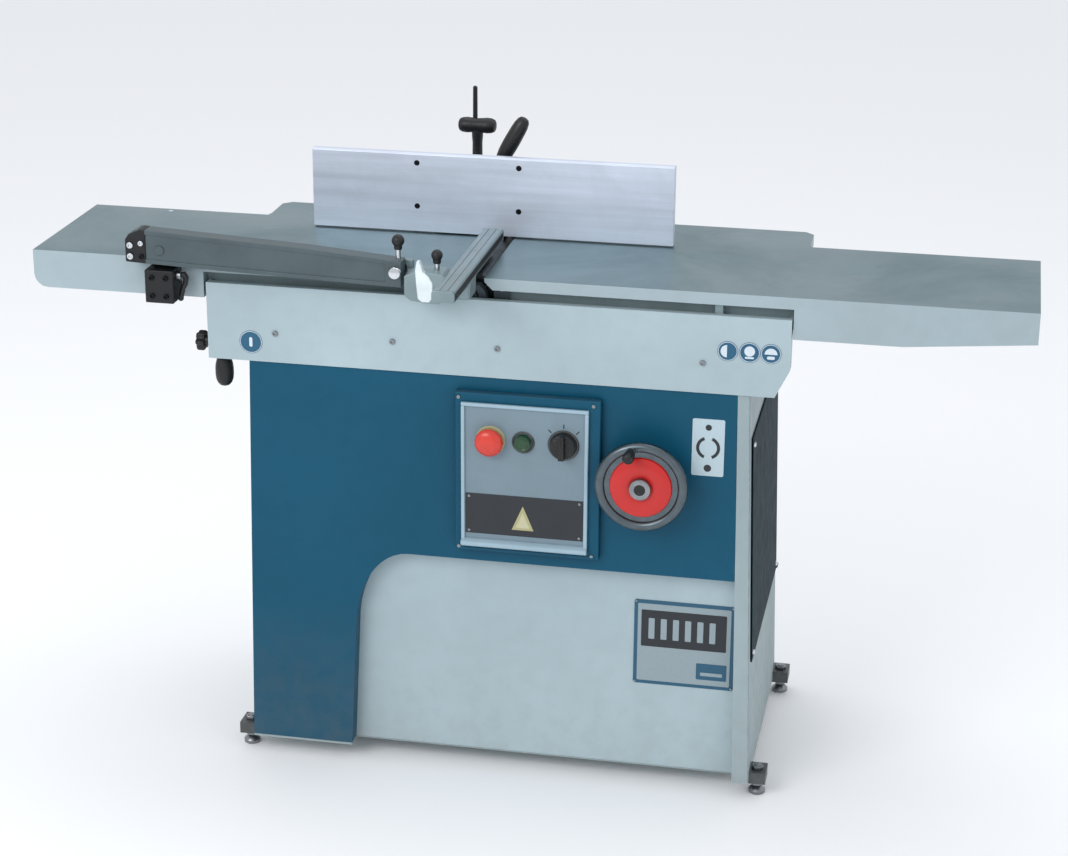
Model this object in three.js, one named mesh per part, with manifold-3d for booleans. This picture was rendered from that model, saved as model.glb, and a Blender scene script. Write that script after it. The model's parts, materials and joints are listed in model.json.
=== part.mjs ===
// A surface planer (jointer): two tables either side of a rotating cutterblock, on a sheet-steel
// cabinet that holds the motor, belt, chip chute and the lifting gear of the infeed table.
//
// Millimetres. +X runs along the tables towards the infeed end, +Y away from the operator, +Z up.
// The machine is drawn with y = 0 at the tables' front edge and x = 0 near the cutterblock, and
// the outer group then moves it so that the origin is on the floor under its middle.

import * as THREE from 'three';
import { mergeVertices } from 'three/addons/utils/BufferGeometryUtils.js';
import Module from 'manifold-3d';

const wasm = await Module();
wasm.setup();

// ---------------------------------------------------------------- driving dimensions

const GAP = 0.3;                 // between pieces that touch
const SHEET = 3;                 // sheet-steel thickness of covers
const WALL = 4;                  // cabinet walls

const TABLE_TOP = 870;           // working height above the floor
const TABLE_WIDTH = 288;         // at the outer ends
const TABLE_WIDE = 378;          // beside the cutterblock
const OUTFEED_END = -837;
const INFEED_END = 761;
const OUTFEED_LIP = -141;        // table edges beside the cutterblock
const INFEED_LIP = -91;
const WIDE_LEFT = -527;          // where the wide part of each table ends
const WIDE_RIGHT = 391;
const PLATE = 19;                // table plate thickness
const RIB_BOTTOM = 806;          // underside of the tables' ribs
const RIB = 12;

const CUTTER = { x: -116, z: 835, body: 33.5, knives: 35, journal: 12, front: 33, back: 378 };
const CUT_DEPTH = 4;             // how far the infeed table goes down

const BASE = {
  leftLow: -493, rightLow: 353, leftTop: -478, rightTop: 331,
  bottom: 30, top: 708, depth: 431,
};
const RECESS = 28;               // the lower front panel stands back from the cover
const POST = { low: 326, top: 312 };   // inner edge of the right front corner post

const COVER = {                  // L-shaped front cover: leg on the left, long part on top
  bottom: 34, legLow: -320, legTop: -309, bend: 250, edge: 391, cornerX: 90,
};

const APRON = { left: -545, right: 391, bottom: 708, top: 835, front: -4, cutX: 22, cutZ: 45 };
const BED = { left: -470, right: 318, front: 12, back: 431, top: 795, wall: 12 };
const THROAT = { left: -180, right: -50 };   // opening for the chips under the cutterblock

const WHEEL = { x: 170, z: 559, y: -34, radius: 74 };
const LIFT_Y = 189;              // the vertical lifting screw stands behind the handwheel shaft

const PANEL = { left: -135, right: 99, bottom: 414, top: 684, front: -14, back: 62 };
const BUTTONS = { z: 608, stop: -77, start: -24, selector: 41 };

const MOTOR = { x: -60, z: 250, radius: 80, front: 130, back: 372 };
const PULLEYS = { cutter: 26, motor: 39, front: 402, back: 426, shaft: 14 };
const SPIGOT = { y: 220, z: 555, radius: 60, mouth: -532 };

const FENCE = { left: -433, right: 173, front: 233.6, thick: 16, gap: 2.2, height: 134.7 };
const TILT = { y: 262, z: 886 };       // fence tilting axis, along X
const SUPPORT = { left: -262, right: -142, front: 431.3, back: 480, top: 905 };
const BAR = { x: -201, width: 50, low: 874, high: 888, front: 276, back: 545 };

const ARM_PIVOT = { x: -608, z: 893 };
const HEAD_PIVOT = { x: -224, z: 882 };
const ARM = { front: -40, back: -12 };
const BEAM = { left: -132, right: -96, low: 884, high: 902, front: -185, back: 175 };

// ---------------------------------------------------------------- materials

const paint = (color, roughness = 0.45) =>
  new THREE.MeshStandardMaterial({ color, roughness, metalness: 0.1 });
const metal = (color, roughness = 0.35) =>
  new THREE.MeshStandardMaterial({ color, roughness, metalness: 0.9 });
const BLUE = () => paint(0x1b5d7a);
const GREY = () => paint(0xacc0ca);
const DARK = () => paint(0x55696e);
const BLACK = () => paint(0x191c22, 0.5);
const RED = () => paint(0xd73c32, 0.35);
const GREEN = () => paint(0x1e5a28, 0.35);
const RUBBER = () => paint(0x1c1c1c, 0.9);
const CAST = () => metal(0x80939a, 0.45);
const STEEL = () => metal(0x9aa3a8, 0.3);
const ALUMINIUM = () => metal(0xc0cad8, 0.35);

// ---------------------------------------------------------------- shape helpers

function solidOf(geometry) {
  const bare = geometry.index ? geometry.toNonIndexed() : geometry.clone();
  bare.deleteAttribute('normal');
  bare.deleteAttribute('uv');
  const merged = mergeVertices(bare, 1e-4);
  return new wasm.Manifold(new wasm.Mesh({
    numProp: 3,
    vertProperties: new Float32Array(merged.attributes.position.array),
    triVerts: new Uint32Array(merged.index.array),
  }));
}

function geometryOf(solid) {
  const mesh = solid.getMesh();
  const geometry = new THREE.BufferGeometry();
  geometry.setAttribute('position', new THREE.BufferAttribute(mesh.vertProperties, 3));
  geometry.setIndex(new THREE.BufferAttribute(mesh.triVerts, 1));
  geometry.computeVertexNormals();
  return geometry;
}

// Join and cut take geometries and give a geometry.
const join = (first, ...others) =>
  geometryOf(others.reduce((all, g) => all.add(solidOf(g)), solidOf(first)));
const cut = (first, ...others) =>
  geometryOf(others.reduce((all, g) => all.subtract(solidOf(g)), solidOf(first)));

function box(x0, x1, y0, y1, z0, z1) {
  const geometry = new THREE.BoxGeometry(x1 - x0, y1 - y0, z1 - z0);
  return geometry.translate((x0 + x1) / 2, (y0 + y1) / 2, (z0 + z1) / 2);
}

function outline(points) {
  return new THREE.Shape(points.map(([u, v]) => new THREE.Vector2(u, v)));
}

// An outline in X and Z, pulled along Y from y0 to y1.
function alongY(shape, y0, y1, curveSegments = 8) {
  const flat = Array.isArray(shape) ? outline(shape) : shape;
  const geometry = new THREE.ExtrudeGeometry(flat, {
    depth: y1 - y0, bevelEnabled: false, curveSegments,
  });
  return geometry.rotateX(Math.PI / 2).translate(0, y1, 0);
}

// An outline in Y and Z, pulled along X from x0 to x1.
function alongX(shape, x0, x1, curveSegments = 8) {
  const flat = Array.isArray(shape) ? outline(shape) : shape;
  const geometry = new THREE.ExtrudeGeometry(flat, {
    depth: x1 - x0, bevelEnabled: false, curveSegments,
  });
  return geometry.rotateX(Math.PI / 2).rotateZ(Math.PI / 2).translate(x0, 0, 0);
}

// An outline in X and Y, pulled up along Z from z0 to z1.
function alongZ(points, z0, z1) {
  const geometry = new THREE.ExtrudeGeometry(outline(points), {
    depth: z1 - z0, bevelEnabled: false,
  });
  return geometry.translate(0, 0, z0);
}

// A turned solid from a half profile of [radius, height] points that starts and ends on the axis.
// It stands along the named axis, with height 0 at the given place.
function turned(axis, place, profile, segments = 24) {
  const points = profile.map(([r, h]) => new THREE.Vector2(r, h));
  const geometry = new THREE.LatheGeometry(points, segments);
  if (axis === 'z') geometry.rotateX(Math.PI / 2);
  if (axis === 'x') geometry.rotateZ(-Math.PI / 2);
  return geometry.translate(...place);
}

function rod(axis, place, radius, from, to, segments = 24) {
  return turned(axis, place, [[0, from], [radius, from], [radius, to], [0, to]], segments);
}

function ball(centre, radius, segments = 16) {
  return new THREE.SphereGeometry(radius, segments, segments / 2).translate(...centre);
}

const machine = new THREE.Group();
machine.position.set(-(OUTFEED_END + INFEED_END) / 2, -(BEAM.front + BAR.back) / 2, 0);

function add(name, geometry, material, parent = machine) {
  const mesh = new THREE.Mesh(geometry, material);
  mesh.name = name;
  parent.add(mesh);
  return mesh;
}

// ---------------------------------------------------------------- cabinet

// Left and right faces of the cabinet lean in slightly towards the top.
const along = (low, high, z) => low + (high - low) * (z - BASE.bottom) / (BASE.top - BASE.bottom);
const leftFace = (z) => along(BASE.leftLow, BASE.leftTop, z);
const rightFace = (z) => along(BASE.rightLow, BASE.rightTop, z);
const postEdge = (z) => along(POST.low, POST.top, z);

// The cabinet's outline drawn in by a margin, between two heights.
function cabinetOutline(inset, z0, z1) {
  return [
    [leftFace(z0) + inset, z0], [rightFace(z0) - inset, z0],
    [rightFace(z1) - inset, z1], [leftFace(z1) + inset, z1],
  ];
}

const DOOR = { left: -425, margin: 6, bottom: 88, top: 602, hingeX: -440, hingeZ: [165, 500] };
const HINGE_Y = BASE.depth + 8;

function cabinet() {
  const { bottom, top, depth } = BASE;
  const outer = alongY(cabinetOutline(0, bottom, top), 0, depth);
  const inside = alongY(cabinetOutline(WALL, bottom + WALL, top + 1), -1, depth - WALL);
  const rim = cut(
    alongY(cabinetOutline(WALL / 2, top - 8, top), RECESS + 14, depth - WALL / 2),
    alongY(cabinetOutline(34, top - 9, top + 1), RECESS + 44, depth - 34),
    box(THROAT.left, THROAT.right, depth - 40, depth - WALL, top - 9, top + 1),
  );
  const floorNotch = box(COVER.legLow, POST.low, -1, RECESS + SHEET + GAP, bottom - 1, bottom + WALL + 1);
  const post = alongY([
    [postEdge(bottom), bottom], [rightFace(bottom) - 1, bottom],
    [rightFace(top) - 1, top], [postEdge(top), top],
  ], 0, WALL);
  const postReturn = alongY([
    [postEdge(bottom), bottom], [postEdge(bottom) + SHEET, bottom],
    [postEdge(top) + SHEET, top], [postEdge(top), top],
  ], 1, RECESS + SHEET);
  const doorway = box(DOOR.left + 15, LATCH.x + 10, depth - 10, depth + 1,
    DOOR.bottom + 12, DOOR.top - 12);
  const coverRebate = box(-520, COVER.edge, -1, SHEET + GAP, COVER.bottom - GAP, top + 1);
  const spigotHole = rod('x', [0, SPIGOT.y, SPIGOT.z], SPIGOT.radius + 0.6, -520, -440);
  const tabs = [];
  const tabHoles = [];
  for (const place of footPlaces()) {
    const inward = place.x < 0 ? 12 : -12;
    const x0 = Math.min(place.x - 15, place.x + inward * 2);
    const x1 = Math.max(place.x + 15, place.x + inward * 2);
    tabs.push(box(x0, x1, place.y - 20, place.y + 20, 24, 44));
    tabHoles.push(rod('z', [place.x, place.y, 0], FOOT_THREAD + 0.4, 20, 50));
  }
  const knuckles = DOOR.hingeZ.map((z) => join(
    rod('z', [DOOR.hingeX, HINGE_Y, 0], 6, z + 10 + GAP, z + 30, 16),
    box(DOOR.hingeX - 12, DOOR.hingeX - 3, BASE.depth - 3, HINGE_Y + 3, z + 10 + GAP, z + 30),
  ));
  const shell = cut(outer, inside, floorNotch, doorway, spigotHole, coverRebate);
  return cut(join(shell, rim, post, postReturn, ...tabs, ...knuckles), ...tabHoles,
    rod('y', [250, 0, 62], 12, 400, 440));
}

const FOOT_THREAD = 6;
function footPlaces() {
  const leftX = BASE.leftLow - 15;
  const rightX = BASE.rightLow + 12;
  return [
    { x: leftX, y: 35 }, { x: rightX, y: 35 }, { x: leftX, y: 410 }, { x: rightX, y: 420 },
  ];
}

// The inner edge of the front cover, from the foot of its leg, round the corner, to its right end.
function coverEdge(offset) {
  const { bottom, legLow, legTop, bend, edge, cornerX } = COVER;
  const points = [[legLow - offset, bottom], [legTop - offset, bend]];
  const cornerZ = edge - bend;
  const centreX = legTop + cornerX;
  const steps = 12;
  for (let i = 1; i <= steps; i++) {
    const a = (i / steps) * Math.PI / 2;
    points.push([
      centreX - (cornerX + offset) * Math.cos(a),
      bend + (cornerZ + offset) * Math.sin(a),
    ]);
  }
  points.push([postEdge(edge) - GAP * 2, edge + offset]);
  return points;
}

function frontCover() {
  const top = BASE.top - GAP;
  const front = alongY([
    ...coverEdge(0),
    [postEdge(top) - GAP * 2, top], [leftFace(top), top], [leftFace(COVER.bottom), COVER.bottom],
  ], 0, SHEET);
  const flange = alongY([...coverEdge(0), ...coverEdge(SHEET).reverse()], SHEET / 2, RECESS - GAP);
  const panelHole = box(PANEL.left - 0.5, PANEL.right + 0.5, -2, SHEET + 1,
    PANEL.bottom - 0.5, PANEL.top + 0.5);
  const shaftHole = rod('y', [WHEEL.x, 0, WHEEL.z], 13, -2, SHEET + 1);
  return cut(join(front, flange), panelHole, shaftHole);
}

function clearOfSides(geometry) {
  const { bottom, top, depth } = BASE;
  const room = alongY(cabinetOutline(WALL + GAP, bottom - 1, top + 1), -5, depth);
  return geometryOf(solidOf(geometry).intersect(solidOf(room)));
}

const LOWER_PANEL_TOP = 402;
const lowerPanel = () => alongY([
  [COVER.legLow - 20, COVER.bottom], [postEdge(COVER.bottom) - GAP, COVER.bottom],
  [postEdge(LOWER_PANEL_TOP) - GAP, LOWER_PANEL_TOP], [COVER.legTop - 20, LOWER_PANEL_TOP],
], RECESS, RECESS + SHEET);

const SIDE_PANEL = { front: 24, back: 418, low: 240, high: 628 };

// A plate on a leaning side face: side is +1 for the right, -1 for the left.
function sidePanel(side) {
  const { front, back, low, high } = SIDE_PANEL;
  const face = side > 0 ? rightFace : leftFace;
  const near = side * GAP;
  const far = side * (SHEET + GAP);
  return alongY([
    [face(low) + near, low], [face(low) + far, low],
    [face(high) + far, high], [face(high) + near, high],
  ], front, back);
}

function rearDoor() {
  const { left, margin, bottom, top, hingeX, hingeZ } = DOOR;
  const y0 = BASE.depth + GAP;
  const plate = alongY([
    [left, bottom], [rightFace(bottom) - margin, bottom], [rightFace(top) - margin, top], [left, top],
  ], y0, y0 + SHEET);
  const hinges = hingeZ.map((z) => join(
    rod('z', [hingeX, HINGE_Y, 0], 6, z - 10, z + 10, 16),
    box(hingeX, left + 20, y0 + 1, y0 + SHEET, z - 10, z + 10),
  ));
  return cut(join(plate, ...hinges), rod('y', [LATCH.x, 0, LATCH.z], 8.4, y0 - 2, y0 + 10));
}

const LATCH = { x: 312, z: 234 };
function doorLatch() {
  const y = BASE.depth + GAP + SHEET + GAP;
  return join(
    turned('y', [LATCH.x, y, LATCH.z], [[0, -8], [8, -8], [8, 0], [16, 0], [15, 5], [0, 5]], 24),
    box(LATCH.x - 12, LATCH.x + 38, y + 4, y + 17, LATCH.z - 4, LATCH.z + 4),
  );
}

add('base_cabinet', cabinet(), GREY());
add('front_cover', frontCover(), BLUE());
add('lower_panel', lowerPanel(), GREY());
add('side_panel_right', sidePanel(1), BLUE());
add('side_panel_left', cut(sidePanel(-1),
  rod('x', [0, SPIGOT.y, SPIGOT.z], SPIGOT.radius + 18, -520, -440, 32)), BLUE());
add('rear_door', rearDoor(), GREY());
add('door_latch', doorLatch(), BLACK());
footPlaces().forEach((place, i) => {
  add(`levelling_foot_${i + 1}`, turned('z', [place.x, place.y, 0], [
    [0, 0], [14, 0], [14, 7], [10, 12], [FOOT_THREAD, 13], [FOOT_THREAD, 52], [0, 52],
  ], 20), STEEL());
});
add('cable_gland', turned('y', [250, BASE.depth, 62], [
  [0, -14], [11, -14], [11, GAP], [15, GAP], [15, 9], [11, 10], [10, 20], [0, 20],
], 18), BLACK());

// ---------------------------------------------------------------- bed and apron

const PILLARS = [[-440, 75], [-200, 320], [60, 75], [290, 320]];
const PILLAR = 12;

function bedCasting() {
  const { left, right, front, back, top, wall } = BED;
  const low = BASE.top + GAP;
  const block = box(left, right, front, back, low, top);
  const hollow = box(left + wall, right - wall, front + wall, back - wall, low - 1, top - wall);
  const throat = box(THROAT.left, THROAT.right, CUTTER.front - 1.5, CUTTER.back, low, top + 1);
  const beltSlot = box(THROAT.left + 8, THROAT.right, 397, back + 1, low - 1, top + 1);
  const screwHole = rod('z', [WHEEL.x, LIFT_Y, 0], 10.5, top - wall - 1, top + 1);
  const pillars = PILLARS.map(([x, y]) =>
    rod('z', [x, y, 0], PILLAR, top - 2, TABLE_TOP - PLATE - CUT_DEPTH - 2, 20));
  const knobLug = box(left - 42, left + 2, 3, 60, 715, 762);
  const lockLug = box(left - 75, left - 40, LOCK.y + 10, 60, 728, 762);
  const knobBore = rod('x', [0, STAR.y, STAR.z], 5.4, left - 50, left - 10, 16);
  return cut(join(cut(block, hollow, throat, beltSlot, screwHole), knobLug, lockLug, ...pillars),
    knobBore);
}

function apron() {
  const { left, right, bottom, top, front, cutX, cutZ } = APRON;
  const inner = front + SHEET;
  const face = alongY([
    [left, bottom], [right - cutX, bottom], [right, bottom + cutZ], [right, top], [left, top],
  ], front, inner);
  const leftReturn = box(left, left + SHEET, front, 22, bottom, top);
  const rightReturn = alongY([
    [right, top], [right - SHEET, top], [right - SHEET, bottom + cutZ + 1],
    [right - cutX - SHEET, bottom], [right - cutX, bottom], [right, bottom + cutZ],
  ], front, 20);
  const topLip = box(left, right, front, 8, top - SHEET, top);
  return cut(join(face, leftReturn, rightReturn, topLip),
    rod('x', [0, STAR.y, STAR.z], 5.4, left - 5, left + 10, 16));
}

const STAR = { y: 14, z: 731 };          // knob on the apron's left end
const LOCK = { x: -532, y: 34, z: 748 };   // pivot of the lever that hangs under the apron

// The rear guard of the belt, above the bed.
function beltGuard() {
  const left = THROAT.left + 10;
  const right = THROAT.right - 12;
  const back = SUPPORT.front - 0.7;
  const low = BED.top + GAP;
  const high = TABLE_TOP - 2;
  return cut(
    box(left, right, 399, back, low, high),
    box(left + SHEET, right - SHEET, 399 - 1, back - SHEET, low - 1, high - SHEET),
  );
}

add('bed_casting', bedCasting(), DARK());
add('apron', apron(), GREY());
add('belt_guard', beltGuard(), DARK());

// ---------------------------------------------------------------- tables

// One table's plate in plan: wide beside the cutterblock, narrow at its outer end.
function tablePlan(lip, step, end) {
  const turn = Math.sign(end - lip) * 14;
  return [
    [lip, 0], [end, 0], [end, TABLE_WIDTH], [step + turn * 0.2, TABLE_WIDTH],
    [step, TABLE_WIDTH + 14], [step, TABLE_WIDE - 14], [step - turn, TABLE_WIDE], [lip, TABLE_WIDE],
  ];
}

// Room for the cutterblock under the table's lip.
function lipRelief(lip, thin, inward) {
  const low = TABLE_TOP - PLATE - 1;
  return alongY([
    [lip - inward, low], [lip - inward, TABLE_TOP - thin], [lip, TABLE_TOP - thin], [lip + inward * 14, low],
  ], -1, TABLE_WIDE + 1);
}

function boss([x, y]) {
  return rod('z', [x, y, 0], PILLAR + 8, RIB_BOTTOM, TABLE_TOP - PLATE + 2, 20);
}

function bossBore([x, y]) {
  return rod('z', [x, y, 0], PILLAR + 0.4, RIB_BOTTOM - 10, TABLE_TOP - PLATE - 0.5, 20);
}

// Ribs under a plate between x0 and x1: two long ones and cross ribs at the places given.
function ribs(x0, x1, crossings) {
  const high = TABLE_TOP - PLATE + 2;
  const long = [25, TABLE_WIDE - 25 - RIB].map((y) => box(x0, x1, y, y + RIB, RIB_BOTTOM, high));
  const cross = crossings.map((x) =>
    box(x, x + RIB, 26, TABLE_WIDE - 26, RIB_BOTTOM + 8, high));
  return [...long, ...cross];
}

// Deep edge of the outer, narrow part of a table: front, rear and end walls to one side outline.
function skirt(points, x0, x1) {
  const wall = alongY(points, 0, TABLE_WIDTH);
  const low = RIB_BOTTOM - 10;
  return cut(wall, box(x0, x1, RIB, TABLE_WIDTH - RIB, low, TABLE_TOP - PLATE + 1));
}

function outfeedTable() {
  const start = APRON.left - 5;
  const radius = 22;
  const low = TABLE_TOP - 62;
  const corner = [];
  for (let i = 0; i <= 4; i++) {
    const a = (i / 4) * Math.PI / 2;
    corner.push([OUTFEED_END + radius * (1 - Math.sin(a)), low + radius * (1 - Math.cos(a))]);
  }
  const edge = skirt([
    ...corner.reverse(), [start, low], [start, TABLE_TOP - 1], [OUTFEED_END, TABLE_TOP - 1],
  ], OUTFEED_END + RIB, start - RIB);
  const plate = alongZ(tablePlan(OUTFEED_LIP, WIDE_LEFT, OUTFEED_END), TABLE_TOP - PLATE, TABLE_TOP);
  const inner = ribs(start + 20, -168, [start + 60, -330, -190]);
  const posts = PILLARS.slice(0, 2);
  const whole = join(plate, edge, ...inner, box(start - 4, start + 24, 25, 25 + RIB, RIB_BOTTOM + 4, 852),
    ...posts.map(boss));
  return cut(whole, lipRelief(OUTFEED_LIP, 7, -1), ...posts.map(bossBore));
}

function infeedTable() {
  const start = WIDE_RIGHT + 2;
  const edge = skirt([
    [start, 803], [560, 803], [INFEED_END, 820], [INFEED_END, TABLE_TOP - 1], [start, TABLE_TOP - 1],
  ], start + RIB, INFEED_END - RIB);
  const plate = alongZ(tablePlan(INFEED_LIP, WIDE_RIGHT, INFEED_END), TABLE_TOP - PLATE, TABLE_TOP);
  const inner = ribs(-66, 376, [-66, 110, 220, 364]);
  const link = box(370, start + 4, 25, 25 + RIB, RIB_BOTTOM + 4, 852);
  const edgeStay = box(271, 283, 9, 30, TABLE_TOP - PLATE - 22, TABLE_TOP - PLATE + 2);
  const posts = PILLARS.slice(2);
  const whole = join(plate, edge, ...inner, link, edgeStay, ...posts.map(boss));
  return cut(whole, lipRelief(INFEED_LIP, 6, 1), ...posts.map(bossBore));
}

add('outfeed_table', outfeedTable(), CAST());
add('infeed_table', infeedTable(), CAST());

// ---------------------------------------------------------------- cutterblock and drive

const cutterAssembly = new THREE.Group();
cutterAssembly.position.set(CUTTER.x, 0, CUTTER.z);
machine.add(cutterAssembly);

const KNIVES = 3;
const KNIFE = { thick: 3, deep: 15 };

function knifeSlot(angle, grow) {
  const slot = box(-KNIFE.thick / 2 - grow, KNIFE.thick / 2 + grow, CUTTER.front - 1, CUTTER.back + 1,
    CUTTER.knives - KNIFE.deep - grow, CUTTER.knives + 4);
  return slot.rotateY(angle);
}

function cutterblock() {
  const { body, journal, front, back } = CUTTER;
  const profile = [
    [0, 8], [journal, 8], [journal, front], [body, front], [body, back], [journal, back],
    [journal, PULLEYS.back + 1], [0, PULLEYS.back + 1],
  ];
  const slots = [];
  for (let i = 0; i < KNIVES; i++) slots.push(knifeSlot((i + 0.5) * 2 * Math.PI / KNIVES, 0.4));
  return cut(turned('y', [0, 0, 0], profile, 36), ...slots);
}

add('cutterblock', cutterblock(), STEEL(), cutterAssembly);
for (let i = 0; i < KNIVES; i++) {
  const blade = add(`knife_${i + 1}`, box(-KNIFE.thick / 2, KNIFE.thick / 2,
    CUTTER.front + 1, CUTTER.back - 1, CUTTER.knives - KNIFE.deep, CUTTER.knives), STEEL(), cutterAssembly);
  blade.rotation.y = (i + 0.5) * 2 * Math.PI / KNIVES;
}

function pulley(radius, bore) {
  const { front, back } = PULLEYS;
  const middle = [[radius, front + 2], [radius, back - 2]];
  const profile = [
    [bore, front], [radius + 2, front], ...middle, [radius + 2, back], [bore, back], [bore, front],
  ];
  return turned('y', [0, 0, 0], profile, 32);
}

add('cutter_pulley', pulley(PULLEYS.cutter, CUTTER.journal + GAP), STEEL(), cutterAssembly);

// A pedestal bearing on the bed, with the journal's bore.
function bearing(y0, y1) {
  const half = 36;
  const low = BED.top + GAP;
  const crown = CUTTER.z + 19;
  const body = alongY([
    [CUTTER.x - half, low], [CUTTER.x + half, low], [CUTTER.x + half, low + 12],
    [CUTTER.x + 22, crown - 8], [CUTTER.x + 14, crown], [CUTTER.x - 14, crown],
    [CUTTER.x - 22, crown - 8], [CUTTER.x - half, low + 12],
  ], y0, y1);
  return cut(body, rod('y', [CUTTER.x, 0, CUTTER.z], CUTTER.journal + 0.4, y0 - 1, y1 + 1));
}

add('bearing_front', bearing(13, 31), CAST());
add('bearing_rear', bearing(380, 395), CAST());

function motorHousing() {
  const { x, z, radius, front, back } = MOTOR;
  const shell = turned('y', [x, 0, z], [
    [0, front - 24], [radius - 14, front - 24], [radius - 6, front - 4], [radius, front],
    [radius, back - 12], [radius - 20, back], [0, back],
  ], 32);
  const foot = box(x - 70, x + 70, front + 30, back - 40, z - radius - 10, z - radius + 30);
  const terminals = box(x - 35, x + 35, front + 60, back - 80, z + radius - 15, z + radius + 25);
  return cut(join(shell, foot, terminals), rod('y', [x, 0, z], PULLEYS.shaft + 0.4, front + 20, back + 1));
}

// The plate that the motor is bolted to, on two legs that stand on the cabinet's floor.
function motorPlate() {
  const { x, z, radius, front, back } = MOTOR;
  const top = z - radius - 10 - GAP;
  const plate = box(x - 95, x + 95, front + 10, back - 20, top - 8, top);
  const floor = BASE.bottom + WALL + GAP;
  const legs = [x - 95, x + 87].map((x0) => box(x0, x0 + 8, front + 10, back - 20, floor, top - 4));
  return join(plate, ...legs);
}

const motorAssembly = new THREE.Group();
motorAssembly.position.set(MOTOR.x, 0, MOTOR.z);
machine.add(motorAssembly);

add('motor_housing', motorHousing(), paint(0x5a6a78));
add('motor_plate', motorPlate(), DARK());
add('motor_rotor', rod('y', [0, 0, 0], PULLEYS.shaft, MOTOR.front + 24, PULLEYS.back), STEEL(),
  motorAssembly);
add('motor_pulley', pulley(PULLEYS.motor, PULLEYS.shaft + GAP), STEEL(), motorAssembly);

// The loop round two circles of the pulleys' radii plus a margin, as points in X and Z.
function beltLoop(margin) {
  const dx = MOTOR.x - CUTTER.x;
  const dz = MOTOR.z - CUTTER.z;
  const distance = Math.hypot(dx, dz);
  const heading = Math.atan2(dz, dx);
  const wrap = Math.acos((PULLEYS.cutter - PULLEYS.motor) / distance);
  const points = [];
  const arc = (cx, cz, r, from, to) => {
    for (let i = 0; i <= 14; i++) {
      const a = from + (to - from) * i / 14;
      points.push([cx + r * Math.cos(a), cz + r * Math.sin(a)]);
    }
  };
  arc(CUTTER.x, CUTTER.z, PULLEYS.cutter + margin, heading + wrap, heading + 2 * Math.PI - wrap);
  arc(MOTOR.x, MOTOR.z, PULLEYS.motor + margin, heading - wrap, heading + wrap);
  return points;
}

const BELT = { gap: 0.6, thick: 3.5, front: 405, back: 423 };
add('drive_belt', cut(
  alongY(beltLoop(BELT.gap + BELT.thick), BELT.front, BELT.back),
  alongY(beltLoop(BELT.gap), BELT.front - 1, BELT.back + 1),
), RUBBER());

// ---------------------------------------------------------------- chip chute

const CHUTE = { front: 80, back: 360, left: -468, low: 490, high: 620, top: 702 };

// The chute's outline: down from the throat, then out to the left. It is open at the top.
function chuteOutline(inset, rise) {
  const { left, low, high, top } = CHUTE;
  return [
    [-190 + inset, top + rise], [-190 + inset, high + 44 - inset], [-234, high - inset],
    [left + inset, high - inset], [left + inset, low + inset], [-182, low + inset],
    [-45 - inset, 632], [-45 - inset, top + rise],
  ];
}

function dustChute() {
  const { left, front, back } = CHUTE;
  return cut(
    alongY(chuteOutline(0, 0), front, back),
    alongY(chuteOutline(SHEET, 2), front + SHEET, back - SHEET),
    rod('x', [0, SPIGOT.y, SPIGOT.z], SPIGOT.radius + 0.4, left - 5, left + SHEET + 2, 32),
  );
}

function dustSpigot() {
  const { y, z, radius, mouth } = SPIGOT;
  const inner = radius - SHEET;
  const wall = leftFace(z - radius) - 2.5;
  const end = CHUTE.left + SHEET - 1;
  return turned('x', [0, y, z], [
    [inner, mouth], [radius, mouth], [radius, wall - SHEET], [radius + 14, wall - SHEET],
    [radius + 14, wall], [radius, wall], [radius, end], [inner, end], [inner, mouth],
  ], 32);
}

add('dust_chute', dustChute(), DARK());
add('dust_spigot', dustSpigot(), DARK());

// ---------------------------------------------------------------- control panel

function controlBox() {
  const { left, right, bottom, top, front, back } = PANEL;
  return cut(
    box(left, right, front, back, bottom, top),
    box(left + SHEET, right - SHEET, front + SHEET, back - SHEET, bottom + SHEET, top - SHEET),
    box(left + 18, right - 26, front - 1, front + SHEET + 1, bottom + 18, top - 22),
  );
}

const FACE = { left: -125, right: 81, bottom: 424, top: 669, front: -17.3 };

function controlPlate() {
  const { left, right, bottom, top, front } = FACE;
  const holes = [[BUTTONS.stop, 11.4], [BUTTONS.start, 13.4], [BUTTONS.selector, 8.4]];
  return cut(
    box(left, right, front, front + SHEET, bottom, top),
    ...holes.map(([x, r]) => rod('y', [x, 0, BUTTONS.z], r, front - 1, front + SHEET + 1)),
  );
}

add('control_box', controlBox(), BLUE());
add('control_plate', controlPlate(), GREY());
add('stop_button', turned('y', [BUTTONS.stop, FACE.front, BUTTONS.z], [
  [0, -24], [10, -23.5], [18, -21], [22.5, -17], [23, -13], [20, -9], [11, -8], [11, 24], [0, 24],
]), RED());
add('start_button', turned('y', [BUTTONS.start, FACE.front, BUTTONS.z], [
  [0, -11], [11, -10.5], [13, -9], [13, 22], [0, 22],
], 20), GREEN());
add('selector_knob', join(
  turned('y', [BUTTONS.selector, FACE.front, BUTTONS.z], [
    [0, -14], [20, -13], [22.5, -1], [8, -1], [8, 24], [0, 24],
  ]),
  box(BUTTONS.selector - 5, BUTTONS.selector + 5, FACE.front - 24, FACE.front - 10,
    BUTTONS.z - 20, BUTTONS.z + 20),
), BLACK());

// ---------------------------------------------------------------- handwheel and table lift

const BEVEL = { near: 18, far: 30, slack: 0.5 };   // cone from the crossing point of the two shafts

const wheelAssembly = new THREE.Group();
wheelAssembly.position.set(WHEEL.x, 0, WHEEL.z);
machine.add(wheelAssembly);

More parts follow.
